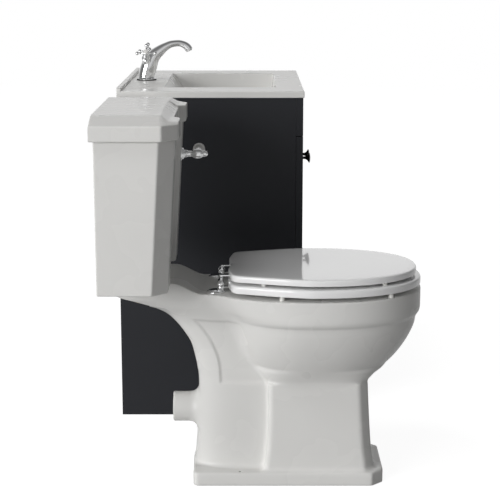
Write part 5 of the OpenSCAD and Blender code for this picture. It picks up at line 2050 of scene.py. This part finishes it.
@dataclass
class Studio:
    """Floor, lamps and camera."""

    eye: Point = (-3.3375, 0.0253, 1.13)
    pitch: float = 11.95
    lens: float = 100.0
    dim: float = 0.06
    lobes: tuple = (((1.0, 0.12, 0.1), 3.0, 0.9), ((-0.3, 0.8, 0.3), 2.0, 0.10),
                    ((-0.2, 0.2, 1.0), 2.0, 0.06), ((0.3, -1.0, 0.1), 2.0, 0.15))
    shine: tuple = (((-1.0, -0.25, 0.15), 5.0, 0.55),)
    floor_half: float = 9.0
    floor_low: float = 0.0005
    floor_lift: float = 0.35
    floor_dull: float = 0.43
    floor_pale: float = 0.34
    floor_glow: float = 0.90
    aim: Point = (-0.2, 0.0, 0.45)
    key_from: Point = (-0.70, 0.66, 0.18)
    key_distance: float = 12.0
    key_size: tuple[float, float] = (8.0, 6.0)
    key_power: float = 1060.0
    top_from: Point = (-0.35, 0.50, 1.0)
    top_distance: float = 9.0
    top_size: tuple[float, float] = (2.6, 2.6)
    top_power: float = 175.0

    def floor_look(self) -> bpy.types.Material:
        """Makes the floor's look: near white to the eye, with a faint shadow, and grey to mirrors.

        Returns:
            The material.
        """
        material = bpy.data.materials.new("studio_floor")
        nodes = empty_tree(material)
        dull = nodes.add("ShaderNodeBsdfDiffuse", {"Color": (*[self.floor_dull] * 3, 1.0)})
        pale = nodes.add("ShaderNodeBsdfDiffuse", {"Color": (*[self.floor_pale] * 3, 1.0)})
        glow = nodes.add("ShaderNodeEmission", {"Color": WHITE, "Strength": self.floor_glow})
        shown = nodes.add("ShaderNodeAddShader", {0: pale.outputs[0], 1: glow.outputs[0]})
        path = nodes.add("ShaderNodeLightPath")
        lift = nodes.add("ShaderNodeMath", {0: path.outputs["Is Glossy Ray"], 1: self.floor_lift},
                         operation="MULTIPLY")
        gleam = nodes.add("ShaderNodeEmission", {"Color": WHITE, "Strength": lift.outputs[0]})
        met = nodes.add("ShaderNodeAddShader", {0: dull.outputs[0], 1: gleam.outputs[0]})
        mix = nodes.add("ShaderNodeMixShader", {
            0: path.outputs["Is Camera Ray"], 1: met.outputs[0], 2: shown.outputs[0]})
        nodes.add("ShaderNodeOutputMaterial", {"Surface": mix.outputs[0]})
        return material

    @staticmethod
    def sky(nodes: Nodes, lobes: tuple, base: float) -> bpy.types.NodeSocket:
        """Adds up lobes of soft light round the set.

        Args:
            nodes: the world's tree.
            lobes: the direction, sharpness and strength of each lobe.
            base: the strength where no lobe reaches.

        Returns:
            The strength of the light from each direction.
        """
        place = nodes.add("ShaderNodeTexCoord")
        total: bpy.types.NodeSocket | float = base
        for toward, power, strength in lobes:
            dot = nodes.add("ShaderNodeVectorMath", {
                0: place.outputs["Generated"], 1: tuple(Vector(toward).normalized())},
                operation="DOT_PRODUCT")
            ahead = nodes.add("ShaderNodeMath", {0: dot.outputs["Value"], 1: 0.0},
                              operation="MAXIMUM")
            lobe = nodes.add("ShaderNodeMath", {0: ahead.outputs[0], 1: power}, operation="POWER")
            total = nodes.add("ShaderNodeMath", {0: lobe.outputs[0], 1: strength, 2: total},
                              operation="MULTIPLY_ADD").outputs[0]
        return total

    def lamp(self, name: str, toward: Point, distance: float, size: tuple[float, float],
             power: float, mirrored: bool) -> None:
        """Adds one soft rectangular lamp that looks at the set.

        Args:
            name: the lamp's name.
            toward: the direction from the set to the lamp.
            distance: how far away it is.
            size: its width and height.
            power: its power in watts.
            mirrored: whether polished pieces show it.
        """
        aim = Vector(self.aim)
        place = aim + Vector(toward).normalized() * distance
        light = bpy.data.lights.new(name, "AREA")
        light.shape = "RECTANGLE"
        light.size, light.size_y = size
        light.energy = power
        thing = new_object(name, light)
        thing.location = place
        thing.rotation_euler = (aim - place).to_track_quat("-Z", "Y").to_euler()
        thing.visible_glossy = mirrored

    def lay_floor(self) -> None:
        """Lays the floor, a hair below the set's feet."""
        half, z = self.floor_half, -self.floor_low
        corners = np.array([(-half, -half, z), (half, -half, z), (half, half, z), (-half, half, z)])
        mesh = new_mesh("studio_floor", corners, [(0, 1, 2, 3)])
        mesh.materials.append(self.floor_look())
        new_object("studio_floor", mesh)

    def light_world(self) -> None:
        """Lights the set from all round, and shows white behind it."""
        world = bpy.data.worlds.new("studio")
        bpy.context.scene.world = world
        nodes = empty_tree(world)
        path = nodes.add("ShaderNodeLightPath")
        light = nodes.add("ShaderNodeMath", {
            0: path.outputs["Is Glossy Ray"], 1: self.sky(nodes, self.shine, 0.0),
            2: self.sky(nodes, self.lobes, self.dim)}, operation="MULTIPLY_ADD")
        soft = nodes.add("ShaderNodeBackground", {"Color": WHITE, "Strength": light.outputs[0]})
        seen = nodes.add("ShaderNodeBackground", {"Color": WHITE, "Strength": 1.0})
        mix = nodes.add("ShaderNodeMixShader", {
            0: path.outputs["Is Camera Ray"], 1: soft.outputs[0], 2: seen.outputs[0]})
        nodes.add("ShaderNodeOutputWorld", {"Surface": mix.outputs[0]})

    def set_camera(self) -> None:
        """Sets up the camera that the photograph was solved for."""
        camera = bpy.data.cameras.new("camera")
        camera.lens = self.lens
        camera.sensor_width = 36.0
        camera.clip_start, camera.clip_end = 0.05, 60.0
        thing = new_object("camera", camera)
        thing.location = self.eye
        thing.rotation_euler = (math.radians(90 - self.pitch), 0.0, math.radians(-90))
        bpy.context.scene.camera = thing

    def build(self) -> None:
        """Sets up the floor, the world, the lamps and the camera."""
        bpy.context.scene.view_settings.view_transform = "Standard"
        self.lay_floor()
        self.light_world()
        self.lamp("key", self.key_from, self.key_distance, self.key_size, self.key_power, True)
        self.lamp("top", self.top_from, self.top_distance, self.top_size, self.top_power, False)
        self.set_camera()


def dress_frame(shop: Shop) -> None:
    """Gives every CAD node the material of its slot.

    Args:
        shop: where the materials are kept.
    """
    for part in frame["record"]["subparts"]:
        thing = frame["nodes"][part["node"]]
        slot = Slot(part["material_slot"])
        thing.data.materials.clear()
        thing.data.materials.append(shop.materials[slot])
        LOG.info("%s keeps its solid, finished as %s", part["node"], slot.value)


def main() -> None:
    """Builds the studio and every piece, in order."""
    logging.basicConfig(level=logging.INFO, format="%(name)s: %(message)s")
    groups = {"tone": make_tone_group(), "relief": make_relief_group()}
    shop = Shop({finish.slot: finish.build(groups) for finish in FINISHES})
    Studio().build()
    dress_frame(shop)
    for assembly in (Pan, Cistern, CisternLid, Seat, SeatHinge, Lever, Basin, Tap, Vanity, Repeats):
        assembly(shop).build()
    LOG.info("%d pieces made", len(shop.made))


if __name__ == "__main__":
    main()
